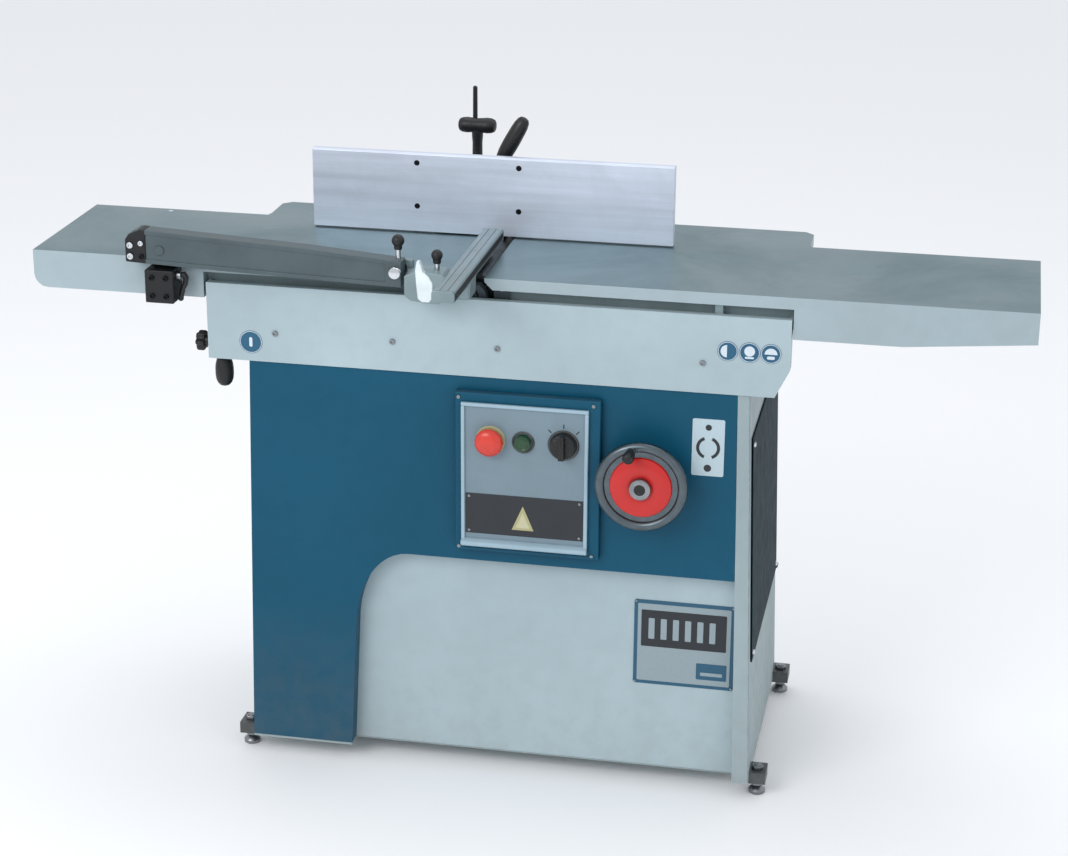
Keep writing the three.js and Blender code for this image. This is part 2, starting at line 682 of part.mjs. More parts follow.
function handwheel() {
  const { radius } = WHEEL;
  const bore = 9.4;
  const tube = 8;
  const ring = radius - tube;
  const rim = [];
  for (let i = 0; i <= 8; i++) {
    const a = -Math.PI * 0.75 + (i / 8) * Math.PI * 1.5;
    rim.push([ring + tube * Math.cos(a), -10 + tube * Math.sin(a)]);
  }
  return turned('y', [0, WHEEL.y, 0], [
    [bore, -26], [17, -26], [19, -22], [19, -12], [42, -8], [56, -12],
    ...rim, [56, -6], [40, 0], [22, 4], [20, 12], [bore, 12], [bore, -26],
  ], 36);
}

const GRIP = { radius: 62, angle: 1.83 };
function handwheelGrip() {
  const x = GRIP.radius * Math.cos(GRIP.angle);
  const z = GRIP.radius * Math.sin(GRIP.angle);
  return turned('y', [x, WHEEL.y - 18 - GAP * 2, z], [
    [0, -36], [6, -35.5], [9, -31], [9.5, -22], [7.5, -8], [7, -1], [0, -1],
  ], 16);
}

add('handwheel', handwheel(), RED(), wheelAssembly);
add('handwheel_grip', handwheelGrip(), BLACK(), wheelAssembly);
add('handwheel_shaft', turned('y', [0, LIFT_Y, 0], [
  [0, WHEEL.y - 24 - LIFT_Y], [9, WHEEL.y - 24 - LIFT_Y], [9, -BEVEL.far - 6],
  [16, -BEVEL.far - 6], [BEVEL.far - 3, -BEVEL.far], [BEVEL.far - BEVEL.slack, -BEVEL.far],
  [BEVEL.near - BEVEL.slack, -BEVEL.near], [0, -BEVEL.near],
], 24), STEEL(), wheelAssembly);
add('lift_screw', turned('z', [WHEEL.x, LIFT_Y, WHEEL.z], [
  [0, BEVEL.near], [BEVEL.near - BEVEL.slack, BEVEL.near], [BEVEL.far - BEVEL.slack, BEVEL.far],
  [BEVEL.far - 3, BEVEL.far], [16, BEVEL.far + 6], [10, BEVEL.far + 6],
  [10, TABLE_TOP - PLATE - CUT_DEPTH - 2 - WHEEL.z], [0, TABLE_TOP - PLATE - CUT_DEPTH - 2 - WHEEL.z],
], 24), STEEL());
add('lift_nut', cut(
  rod('z', [WHEEL.x, LIFT_Y, 0], 22, RIB_BOTTOM - 3, TABLE_TOP - PLATE - GAP, 6),
  rod('z', [WHEEL.x, LIFT_Y, 0], 10.4, RIB_BOTTOM - 4, TABLE_TOP, 24),
), metal(0xb08d57));

// ---------------------------------------------------------------- outfeed knob and lock

// A star knob's outline: round lobes on a circle.
function starOutline(radius, lobes, centre) {
  const points = [];
  const steps = lobes * 6;
  for (let i = 0; i < steps; i++) {
    const a = (i / steps) * 2 * Math.PI;
    const r = radius - 2.5 + 2.5 * Math.cos(a * lobes);
    points.push([centre[0] + r * Math.cos(a), centre[1] + r * Math.sin(a)]);
  }
  return points;
}

add('outfeed_knob', join(
  alongX(starOutline(17, 6, [STAR.y, STAR.z]), APRON.left - 24, APRON.left - 9),
  rod('x', [0, STAR.y, STAR.z], 9, APRON.left - 10, APRON.left - 1, 16),
  rod('x', [0, STAR.y, STAR.z], 5, APRON.left - 2, APRON.left + 50, 16),
), BLACK());

add('outfeed_lock', join(
  rod('y', [LOCK.x, LOCK.y, LOCK.z], 10, -8, 10 - GAP, 20),
  rod('z', [LOCK.x, LOCK.y, 0], 4, 706, LOCK.z, 12),
  turned('z', [LOCK.x, LOCK.y, 649], [
    [0, 0], [8, 2], [13, 9], [15, 20], [15, 31], [12, 46], [7, 56], [0, 58],
  ], 20),
), BLACK());

// ---------------------------------------------------------------- fence

function fencePlate() {
  const { left, right, front, thick, gap, height } = FENCE;
  return alongX([
    [front, TABLE_TOP + gap], [front + thick, TABLE_TOP + gap],
    [front + thick, TABLE_TOP + height - 2], [front + thick - 2, TABLE_TOP + height],
    [front + 1, TABLE_TOP + height], [front, TABLE_TOP + height - 1],
  ], left, right);
}

// A bracket on the back of the fence, with the eye that turns on the tilting pin.
function fenceBracket(x) {
  const back = FENCE.front + FENCE.thick + GAP;
  const eye = rod('x', [0, TILT.y, TILT.z], 12, x - 16, x + 16, 20);
  const plate = alongX([
    [back, TILT.z - 6], [TILT.y + 8, TILT.z + 6], [TILT.y + 12, TILT.z + 70],
    [back + 6, TILT.z + 106], [back, TILT.z + 106],
  ], x - 16, x + 16);
  return cut(join(plate, eye), rod('x', [0, TILT.y, TILT.z], 6.4, x - 20, x + 20, 20),
    box(x - 20, x + 20, back - 20, back, TILT.z - 20, TILT.z + 20));
}

const BRACKET_X = [-255, -84];
const CARRIAGE = { left: -234, right: -104 };

// The carriage: a block on the front of the slide bar, with the tilting pin.
function fenceCarriage() {
  const { left, right } = CARRIAGE;
  return join(
    box(left, right, TILT.y - 3, 300, BAR.high + GAP, TILT.z + 8),
    box(left, BAR.x - BAR.width / 2 - GAP, TILT.y - 3, 300, BAR.low + GAP, BAR.high + 2),
    box(BAR.x + BAR.width / 2 + GAP, right, TILT.y - 3, 300, BAR.low + GAP, BAR.high + 2),
    box(left, right, TILT.y - 3, BAR.front - GAP, BAR.low + GAP, BAR.high + 2),
    rod('x', [0, TILT.y, TILT.z], 6, BRACKET_X[0] - 20, BRACKET_X[1] + 20, 20),
  );
}

function fenceSupport() {
  const { left, right, front, back, top } = SUPPORT;
  const half = BAR.width / 2 + 0.5;
  const block = box(left, right, front, back, 720, top);
  const slot = box(BAR.x - half, BAR.x + half, front - 1, back + 1, BAR.low - 0.5, BAR.high + 0.5);
  const post = turned('z', [CLAMP.x - 8, CLAMP.y + 19, 0], [
    [0, top - 2], [6, top - 2], [4.5, top + 14], [4, 1067], [2, 1069], [0, 1069],
  ], 12);
  return cut(join(block, post), slot,
    rod('z', [CLAMP.x, CLAMP.y, 0], 6.4, BAR.high - 2, top + 1, 20));
}

const CLAMP = { x: BAR.x, y: 452 };
function clampHandle() {
  return join(
    rod('z', [CLAMP.x, CLAMP.y, 0], 6, BAR.high + GAP, SUPPORT.top + 20, 20),
    rod('z', [CLAMP.x, CLAMP.y, 0], 10, SUPPORT.top + 12, 1004, 20),
    turned('x', [CLAMP.x - 33, CLAMP.y, 1005], [
      [0, 0], [10, 2], [13, 10], [13.5, 20], [12, 33], [13.5, 46], [13, 56], [10, 64], [0, 66],
    ], 20),
  );
}

const LEVER = { x: -117, y: 290, z: 930 };   // clamp of the fence tilt, on the right bracket

// The lever: a boss, a stem up to a bend, and a fat grip that leans to the right.
function tiltLever() {
  const bend = new THREE.Vector3(LEVER.x - 9, LEVER.y + 1, LEVER.z + 55);
  const top = new THREE.Vector3(LEVER.x + 31, LEVER.y + 3, LEVER.z + 128);
  const along = (from, to, shape) => {
    const lean = new THREE.Quaternion().setFromUnitVectors(
      new THREE.Vector3(0, 1, 0), to.clone().sub(from).normalize());
    return shape.applyQuaternion(lean).translate(...from.toArray());
  };
  const pivot = new THREE.Vector3(LEVER.x, LEVER.y, LEVER.z);
  const stem = along(pivot, bend, rod('y', [0, 0, 0], 5, -4, bend.distanceTo(pivot) + 2, 16));
  const grip = along(bend, top, turned('y', [0, 0, 0], [
    [0, -4], [8, -3], [11.5, 6], [13.5, 26], [13, 60], [11, 78], [7, 83], [0, 84],
  ], 20));
  return join(stem, grip, rod('x', [0, LEVER.y, LEVER.z], 10, LEVER.x - 8, -100 - GAP, 20));
}

add('fence_plate', fencePlate(), ALUMINIUM());
add('fence_bracket_left', fenceBracket(BRACKET_X[0]), DARK());
add('fence_bracket_right', join(fenceBracket(BRACKET_X[1]),
  box(BRACKET_X[1] - 16, BRACKET_X[1] + 16, TILT.y + 2, LEVER.y + 10, LEVER.z - 12, LEVER.z + 12)), DARK());
add('fence_carriage', fenceCarriage(), DARK());
add('fence_slide_bar', box(BAR.x - BAR.width / 2, BAR.x + BAR.width / 2, BAR.front, BAR.back,
  BAR.low, BAR.high), STEEL());
add('fence_support', fenceSupport(), DARK());
add('clamp_handle', clampHandle(), BLACK());
add('tilt_lever', tiltLever(), BLACK());
add('rear_guard', box(-140, -66, TILT.y + 14, 470, TABLE_TOP + 1.2, BAR.low - GAP), DARK());

// ---------------------------------------------------------------- cutterblock guard

function guardMount() {
  const { x, z } = ARM_PIVOT;
  return join(
    box(x - 24, x + 23, -46, -GAP, 808, 862),
    box(x - 24, x + 23, ARM.back + GAP * 2, -GAP, 860, 908),
    rod('y', [x, 0, z], 8, ARM.front - 3, ARM.back + 4),
  );
}

function guardArm() {
  const { x, z } = ARM_PIVOT;
  const bar = alongY([
    [-664, 872], [-560, 868], [-365, 862], [-214, 858], [-214, 900], [-365, 911],
    [-640, 926], [-660, 916], [-664, 908],
  ], ARM.front, ARM.back);
  return cut(bar, rod('y', [x, 0, z], 8.4, ARM.front - 1, ARM.back + 1),
    rod('y', [HEAD_PIVOT.x, 0, HEAD_PIVOT.z], 6.4, ARM.front - 1, ARM.back + 1),
    rod('z', [KNOB_1.x, KNOB_1.y, 0], 4.4, 893, 930, 16));
}

// The holder of the beam: it hangs on the arm's end and stays level as the arm is raised.
function guardHead() {
  const { x, z } = HEAD_PIVOT;
  const casting = alongY([
    [-208, 850], [-196, 842], [-152, 840], [-138, 848], [-102, 850], [-100, BEAM.low - 0.4],
    [-140, BEAM.low - 0.4], [-146, 888], [-170, 890], [-176, 908], [-187, 908], [-190, 888],
    [-208, 882],
  ], -58, ARM.back);
  const ear = box(x - 14, -200, ARM.back + GAP * 2 - 2.4, -2, z - 14, z + 14);
  const earGap = box(x - 16, -209, ARM.back - 5, ARM.back + GAP * 2, z - 16, z + 16);
  const pin = join(
    rod('y', [x, 0, z], 6, ARM.front - 2, ARM.back + 4),
    rod('y', [x, 0, z], 10.5, ARM.front - 6, ARM.front - GAP * 2, 20),
  );
  return cut(join(casting, cut(ear, earGap), pin), rod('z', [KNOB_2.x, KNOB_2.y, 0], 4.4, 870, 900, 16));
}

const KNOB_1 = { x: -222, y: -26 };
const KNOB_2 = { x: -158, y: -35 };

function clampKnob(place, low, centre, radius) {
  return join(
    rod('z', [place.x, place.y, 0], 4, low, centre - radius + 3, 16),
    ball([place.x, place.y, centre], radius),
  );
}

function guardBeam() {
  const { left, right, low, high, front, back } = BEAM;
  const profile = new THREE.Shape();
  profile.moveTo(left + 4, low);
  profile.lineTo(right - 4, low);
  profile.absarc(right - 4, low + 4, 4, -Math.PI / 2, 0);
  profile.lineTo(right, low + 6);
  profile.lineTo(right - 5, low + 6);
  profile.lineTo(right - 5, high - 6);
  profile.lineTo(right, high - 6);
  profile.absarc(right - 5, high - 5, 5, 0, Math.PI / 2);
  profile.absarc(left + 6, high - 6, 6, Math.PI / 2, Math.PI);
  profile.absarc(left + 4, low + 4, 4, Math.PI, Math.PI * 1.5);
  return alongY(profile, front, back, 4);
}

const GUARD_LEVER = { y: -26, z: 850 };
function guardLever() {
  const { y, z } = GUARD_LEVER;
  const x0 = ARM_PIVOT.x + 23 + GAP;
  const arm = alongY([
    [x0 + 11, z + 4], [x0 + 18, z + 4], [x0 + 16, z - 18], [x0 + 8, z - 40], [x0 + 2, z - 41],
    [x0 + 8, z - 20],
  ], y - 6, y + 6);
  return join(rod('x', [0, y, z], 8, x0, x0 + 18, 18), arm);
}

add('guard_mount', guardMount(), BLACK());
add('guard_arm', guardArm(), DARK());
add('guard_head', guardHead(), ALUMINIUM());
add('guard_beam', guardBeam(), ALUMINIUM());
add('guard_knob_1', clampKnob(KNOB_1, 895, 930, 10), BLACK());
add('guard_knob_2', clampKnob(KNOB_2, 872, 913, 9), BLACK());
add('guard_lever', guardLever(), BLACK());

export default machine;
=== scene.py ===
"""A surface planer (jointer): the visual model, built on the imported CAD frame.

Lengths in the shape code are millimetres of the machine's own frame: x along the tables, y = 0 at
their front edge, z = 0 on the floor. at() turns them into the shared frame's metres.
"""
import bpy
import bmesh
import json
from math import cos, pi, radians, sin
from mathutils import Matrix, Vector

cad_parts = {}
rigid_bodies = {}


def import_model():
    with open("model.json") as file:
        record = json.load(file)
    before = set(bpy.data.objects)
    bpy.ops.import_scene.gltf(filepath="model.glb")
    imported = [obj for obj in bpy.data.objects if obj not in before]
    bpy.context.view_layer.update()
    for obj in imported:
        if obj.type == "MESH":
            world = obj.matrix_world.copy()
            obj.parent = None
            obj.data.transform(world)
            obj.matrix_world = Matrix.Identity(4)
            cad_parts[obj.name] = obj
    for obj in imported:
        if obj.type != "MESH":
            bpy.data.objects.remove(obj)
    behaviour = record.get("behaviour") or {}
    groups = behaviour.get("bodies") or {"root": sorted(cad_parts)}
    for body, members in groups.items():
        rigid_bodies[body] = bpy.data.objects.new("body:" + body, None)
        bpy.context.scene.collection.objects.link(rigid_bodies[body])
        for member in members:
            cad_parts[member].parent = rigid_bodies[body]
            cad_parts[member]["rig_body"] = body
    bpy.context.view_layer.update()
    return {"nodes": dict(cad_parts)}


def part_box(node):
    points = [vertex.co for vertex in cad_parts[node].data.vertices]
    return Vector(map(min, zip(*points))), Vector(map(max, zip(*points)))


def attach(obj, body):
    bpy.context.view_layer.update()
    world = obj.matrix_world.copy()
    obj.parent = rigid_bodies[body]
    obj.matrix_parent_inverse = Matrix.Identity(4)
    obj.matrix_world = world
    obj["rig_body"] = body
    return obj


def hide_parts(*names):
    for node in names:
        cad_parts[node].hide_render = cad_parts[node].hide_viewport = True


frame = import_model()
nodes = frame["nodes"]

TABLE_END_X = 837  # the outfeed table's free end is this far left of x = 0
ORIGIN = Vector((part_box("outfeed_table")[0].x + TABLE_END_X / 1000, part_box("infeed_table")[0].y, 0))


def at(x, y, z):
    return ORIGIN + Vector((x, y, z)) / 1000


def mm_box(node):
    """A node's lowest and highest corners in the machine's millimetres."""
    low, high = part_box(node)
    return (low - ORIGIN) * 1000, (high - ORIGIN) * 1000


# ---------- materials

def srgb(r, g, b):
    def linear(c):
        c /= 255
        return c / 12.92 if c <= 0.04045 else ((c + 0.055) / 1.055) ** 2.4
    return (linear(r), linear(g), linear(b), 1.0)


def scaled(color, k):
    """A colour of 0 to 255 numbers as linear light, k times as bright."""
    return tuple(min(1.0, c * k) for c in srgb(*color)[:3]) + (1.0,)


class Nodes:
    """A short way to write a material's node tree."""

    def __init__(self, name):
        self.mat = bpy.data.materials.new(name)
        self.mat.use_nodes = True
        self.tree = self.mat.node_tree
        self.shader = self.tree.nodes["Principled BSDF"]
        self.coord = self.add("TexCoord").outputs["Object"]

    def add(self, kind):
        return self.tree.nodes.new("ShaderNode" + kind)

    def feed(self, socket, value):
        """Gives a socket a number or a colour, or links another node's output to it."""
        if isinstance(value, (int, float, tuple)):
            socket.default_value = value
        else:
            self.tree.links.new(value, socket)

    def noise(self, scale, detail=3.0, rough=0.55, stretch=(1, 1, 1), distort=0.0):
        mapping = self.add("Mapping")
        self.feed(mapping.inputs["Scale"], stretch)
        self.feed(mapping.inputs["Vector"], self.coord)
        tex = self.add("TexNoise")
        for key, value in (("Scale", scale), ("Detail", detail), ("Roughness", rough),
                           ("Distortion", distort), ("Vector", mapping.outputs[0])):
            self.feed(tex.inputs[key], value)
        return tex.outputs["Fac"]

    def voronoi(self, scale):
        tex = self.add("TexVoronoi")
        tex.feature = "SMOOTH_F1"
        self.feed(tex.inputs["Scale"], scale)
        self.feed(tex.inputs["Vector"], self.coord)
        return tex.outputs["Distance"]

    def span(self, value, a, b, to_a, to_b):
        """Maps a..b to to_a..to_b, clamped."""
        node = self.add("MapRange")
        for socket, number in zip(node.inputs, (value, a, b, to_a, to_b)):
            self.feed(socket, number)
        return node.outputs[0]

    def math(self, operation, a, b):
        node = self.add("Math")
        node.operation = operation
        self.feed(node.inputs[0], a)
        self.feed(node.inputs[1], b)
        return node.outputs[0]

    def mix(self, factor, a, b):
        node = self.add("Mix")
        node.data_type = "RGBA"
        for index, value in ((0, factor), (6, a), (7, b)):
            self.feed(node.inputs[index], value)
        return node.outputs[2]

    def vary(self, value, color, dark, light, low=0.3, high=0.7):
        """The colour from dark to light times itself, as a texture goes from low to high."""
        return self.mix(self.span(value, low, high, 0, 1), scaled(color, dark), scaled(color, light))

    def part(self, vector, axis):
        """One number of a vector: 0 x, 1 y, 2 z."""
        split = self.add("SeparateXYZ")
        self.feed(split.inputs[0], vector)
        return split.outputs[axis]

    def edges(self, radius):
        """1 on convex and concave edges, 0 on flats."""
        bevel = self.add("Bevel")
        bevel.samples = 4
        self.feed(bevel.inputs["Radius"], radius)
        geometry = self.add("NewGeometry")
        dot = self.add("VectorMath")
        dot.operation = "DOT_PRODUCT"
        self.feed(dot.inputs[0], bevel.outputs[0])
        self.feed(dot.inputs[1], geometry.outputs["Normal"])
        return self.span(dot.outputs["Value"], 0.99, 0.86, 0.0, 1.0)

    def bump(self, *layers):
        """Each layer is (height, distance in metres, strength)."""
        last = None
        for height, distance, strength in layers:
            node = self.add("Bump")
            self.feed(node.inputs["Distance"], distance)
            self.feed(node.inputs["Strength"], strength)
            self.feed(node.inputs["Height"], height)
            if last is not None:
                self.feed(node.inputs["Normal"], last)
            last = node.outputs[0]
        self.feed(self.shader.inputs["Normal"], last)

    def set(self, **values):
        names = {
            "color": "Base Color", "rough": "Roughness", "metal": "Metallic", "coat": "Coat Weight",
            "coat_rough": "Coat Roughness", "aniso": "Anisotropic", "spec": "Specular IOR Level",
        }
        for key, value in values.items():
            self.feed(self.shader.inputs[names[key]], value)
        return self.mat


def enamel(name, color, rough=0.42, coat=0.06, dust=0.10, worn=True, spec=0.35):
    """Stove enamel on sheet steel: orange peel, slow shade changes, rubbed edges, settled dust."""
    n = Nodes(name)
    slow = n.noise(2.6, 4, 0.6)
    fine = n.noise(34, 4, 0.6)
    shade = n.vary(slow, color, 0.90, 1.09)
    shade = n.mix(n.span(fine, 0.45, 0.75, 0, 0.25), shade, scaled(color, 0.80))
    up = n.span(n.part(n.add("NewGeometry").outputs["True Normal"], 2), 0.4, 1.0, 0, dust)
    low = n.span(n.part(n.coord, 2), 0.02, 0.30, dust * 1.6, 0.0)
    specks = n.span(n.noise(150, 2, 0.7), 0.55, 0.72, 0, 1)
    dirt = n.math("MULTIPLY", n.math("MAXIMUM", up, low), n.span(fine, 0.3, 0.7, 0.3, 1.0))
    shade = n.mix(dirt, shade, srgb(146, 136, 118))
    roughness = n.math("ADD", n.span(fine, 0.3, 0.8, rough - 0.05, rough + 0.10), dirt)
    if worn:
        chips = n.math("MULTIPLY", n.edges(0.0012), n.span(n.noise(60, 4, 0.7), 0.50, 0.62, 0, 0.75))
        shade = n.mix(chips, shade, scaled(color, 1.7))
        roughness = n.math("ADD", roughness, n.math("MULTIPLY", chips, 0.15))
    n.bump((n.noise(520, 2, 0.5), 0.00025, 0.16), (n.noise(7, 2, 0.5), 0.002, 0.10), (specks, 0.0001, 0.25))
    return n.set(color=shade, rough=roughness, coat=coat, coat_rough=0.18, spec=spec)


def ground_iron(name, color, rough=0.30):
    """A ground cast-iron table: fine lines along the feed, soft stains and polished tracks."""
    n = Nodes(name)
    lines = n.noise(90, 3, 0.65, stretch=(0.25, 14, 14))
    hair = n.noise(420, 2, 0.5, stretch=(0.03, 1.0, 1.0))
    stain = n.noise(3.4, 5, 0.62, distort=0.6)
    spots = n.noise(26, 4, 0.7)
    shade = n.vary(lines, color, 0.86, 1.12)
    shade = n.mix(n.span(stain, 0.46, 0.72, 0, 0.45), shade, scaled(color, 0.66))
    shade = n.mix(n.span(spots, 0.62, 0.78, 0, 0.35), shade, srgb(106, 96, 84))
    roughness = n.math("ADD", n.span(stain, 0.35, 0.70, rough - 0.06, rough + 0.12),
                       n.span(lines, 0.3, 0.7, -0.03, 0.05))
    n.bump((hair, 0.00012, 0.25), (lines, 0.0002, 0.10), (n.noise(5, 2), 0.0015, 0.06))
    return n.set(color=shade, rough=roughness, metal=0.88, aniso=0.35)


def brushed(name, color, rough=0.33, stretch=(0.04, 1, 1), metal=0.9, mottle=0.35):
    """Brushed aluminium or steel with the lines along the axis that stretch leaves small."""
    n = Nodes(name)
    hair = n.noise(520, 3, 0.6, stretch=stretch)
    band = n.noise(60, 3, 0.6, stretch=stretch)
    cloud = n.noise(11, 4, 0.65, distort=0.4)
    shade = n.vary(band, color, 0.90, 1.08)
    shade = n.mix(n.span(cloud, 0.42, 0.72, 0, mottle), shade, scaled(color, 0.76))
    roughness = n.math("ADD", n.span(hair, 0.3, 0.7, rough - 0.05, rough + 0.07),
                       n.span(cloud, 0.4, 0.7, 0.0, 0.07))
    n.bump((hair, 0.00010, 0.30), (n.noise(9, 2), 0.001, 0.05))
    return n.set(color=shade, rough=roughness, metal=metal)


def casting(name, color, rough=0.5, metal=0.15, grain=260, depth=0.0005, worn=1.8):
    """A painted or bare casting: pebbled skin and brighter rubbed edges."""
    n = Nodes(name)
    pebble = n.voronoi(grain)
    cloud = n.noise(14, 4, 0.6)
    shade = n.vary(cloud, color, 0.84, 1.14)
    chips = n.math("MULTIPLY", n.edges(0.0016), n.span(n.noise(75, 4, 0.7), 0.42, 0.60, 0, 0.8))
    shade = n.mix(chips, shade, scaled(color, worn))
    n.bump((pebble, depth, 0.35), (n.noise(120, 4, 0.6), 0.0006, 0.20))
    return n.set(color=shade, rough=n.span(cloud, 0.3, 0.7, rough - 0.07, rough + 0.10), metal=metal)


def moulded(name, color, rough=0.42, grain=900, coat=0.0):
    """Moulded plastic or rubber with a fine grain and handled, slightly polished patches."""
    n = Nodes(name)
    cloud = n.noise(22, 3, 0.6)
    shade = n.vary(cloud, color, 0.85, 1.18)
    shade = n.mix(n.span(n.noise(240, 3, 0.7), 0.62, 0.74, 0, 0.30), shade, srgb(150, 145, 135))
    n.bump((n.noise(grain, 2, 0.5), 0.00015, 0.30), (n.noise(40, 2), 0.0006, 0.08))
    return n.set(color=shade, rough=n.span(cloud, 0.3, 0.7, rough - 0.08, rough + 0.12),
                 coat=coat, coat_rough=0.1)


def turned_steel(name, color, rough=0.24):
    """Turned or plated steel: fine rings, faint fingerprints."""
    n = Nodes(name)
    rings = n.noise(700, 2, 0.5)
    prints = n.noise(48, 4, 0.7)
    shade = n.vary(prints, color, 1, 0.80, 0.35)
    n.bump((rings, 0.00008, 0.25))
    return n.set(color=shade, rough=n.span(prints, 0.35, 0.72, rough - 0.06, rough + 0.13), metal=1.0)


def print_on(name, color, rough=0.4):
    """A printed plate or sticker: even colour, faint ink speckle and a little scuffing."""
    n = Nodes(name)
    scuff = n.noise(75, 5, 0.7)
    shade = n.vary(n.noise(900, 2), color, 0.94, 1.05, 0.35, 0.65)
    shade = n.mix(n.span(scuff, 0.60, 0.78, 0, 0.35), shade, scaled(color, 0.70))
    n.bump((scuff, 0.0001, 0.15))
    return n.set(color=shade, rough=n.span(scuff, 0.3, 0.75, rough - 0.06, rough + 0.14), coat=0.2,
                 coat_rough=0.2)


BLUE = enamel("blue_enamel", (8, 78, 104), 0.46, 0.03, spec=0.20)
TEAL = enamel("teal_enamel", (5, 39, 48), 0.60, 0.0, spec=0.08)
GREY = enamel("grey_enamel", (166, 184, 190), 0.44)
# Painted shade: the cabinet's grey is darker than GREY so that its corner post and sides look as if they lie
# in shadow.
SHADED_BASE_GREY = enamel("base_grey_painted_shade_enamel", (150, 166, 170), 0.50, 0.02)
PANEL_GREY = enamel("panel_grey_enamel", (121, 141, 152), 0.46, worn=False)
TRIM = enamel("trim_enamel", (156, 182, 196), 0.40, 0.15)
IRON_PAINT = enamel("iron_grey_enamel", (158, 174, 180), 0.50, 0.04)
UNDERSIDE = casting("underside_paint", (136, 154, 158), 0.6, 0.1)
MOTOR_PAINT = enamel("motor_enamel", (88, 104, 118), 0.45, coat=0.1)
TABLE = ground_iron("ground_table", (118, 140, 145), 0.34)
FENCE = brushed("fence_aluminium", (214, 222, 236), 0.42, metal=0.55, mottle=0.40)
BEAM = brushed("beam_aluminium", (136, 152, 156), 0.36, stretch=(1, 0.04, 1), metal=0.7)
BAR_STEEL = brushed("bar_steel", (150, 158, 162), 0.28, stretch=(1, 0.04, 1), metal=1.0)
BRIGHT_CAST = casting("bright_casting", (224, 234, 236), 0.36, 0.35, grain=420, depth=0.0003, worn=1.1)
HEAD_CAST = casting("head_casting_grey", (130, 148, 152), 0.44, 0.45, grain=420, depth=0.0003, worn=1.3)
ARM_PAINT = casting("arm_enamel", (76, 90, 94), 0.46, 0.25, grain=380, depth=0.0003, worn=1.5)
DARK_CAST = casting("dark_casting", (62, 74, 80), 0.5, 0.2)
BED_CAST = casting("bed_casting_paint", (116, 132, 137), 0.55, 0.05)
BLACK = moulded("black_plastic", (7, 9, 12), 0.45, coat=0.02)
BLACK_PAINT = casting("black_enamel", (13, 16, 20), 0.50, 0.10, grain=500, depth=0.0002)
RUBBER = moulded("rubber", (22, 22, 22), 0.75)
RED_PLASTIC = moulded("red_plastic", (206, 52, 36), 0.30, coat=0.25)
RED_ENAMEL = enamel("red_enamel", (198, 30, 26), 0.30, coat=0.35, dust=0.02)
GREEN_PLASTIC = moulded("green_plastic", (12, 60, 26), 0.30, coat=0.25)
CHROME = turned_steel("chrome", (214, 218, 222), 0.14)
POLISHED = turned_steel("polished_aluminium", (150, 150, 146), 0.28)
STEEL = turned_steel("turned_steel", (146, 150, 154), 0.30)
RIM_STEEL = turned_steel("rim_steel", (98, 108, 114), 0.32)
SHADE_STEEL = turned_steel("dull_steel", (104, 106, 106), 0.42)
OILED_STEEL = turned_steel("oiled_steel", (62, 66, 68), 0.34)
OXIDE = turned_steel("blackened_steel", (38, 40, 44), 0.38)
BRONZE = turned_steel("bronze", (176, 141, 87), 0.35)
SIGN_BLUE = print_on("sign_blue", (8, 84, 116))
SIGN_WHITE = print_on("sign_white", (206, 218, 226))
SIGN_DARK = print_on("sign_dark", (17, 25, 32))
SIGN_GREY = print_on("sign_grey", (140, 156, 162))
SIGN_PALE = print_on("sign_pale", (178, 198, 206))
SIGN_YELLOW = print_on("sign_yellow", (168, 164, 120))
SIGN_SAND = print_on("sign_sand", (188, 186, 152))
SIGN_FRAME = print_on("sign_frame_blue", (16, 80, 108))


# ---------- shapes

X, Y, Z = Vector((1, 0, 0)), Vector((0, 1, 0)), Vector((0, 0, 1))
AXES = {"x": (Y, Z, X), "y": (X, Z, Y), "z": (X, Y, Z)}  # the two across, then the axis itself


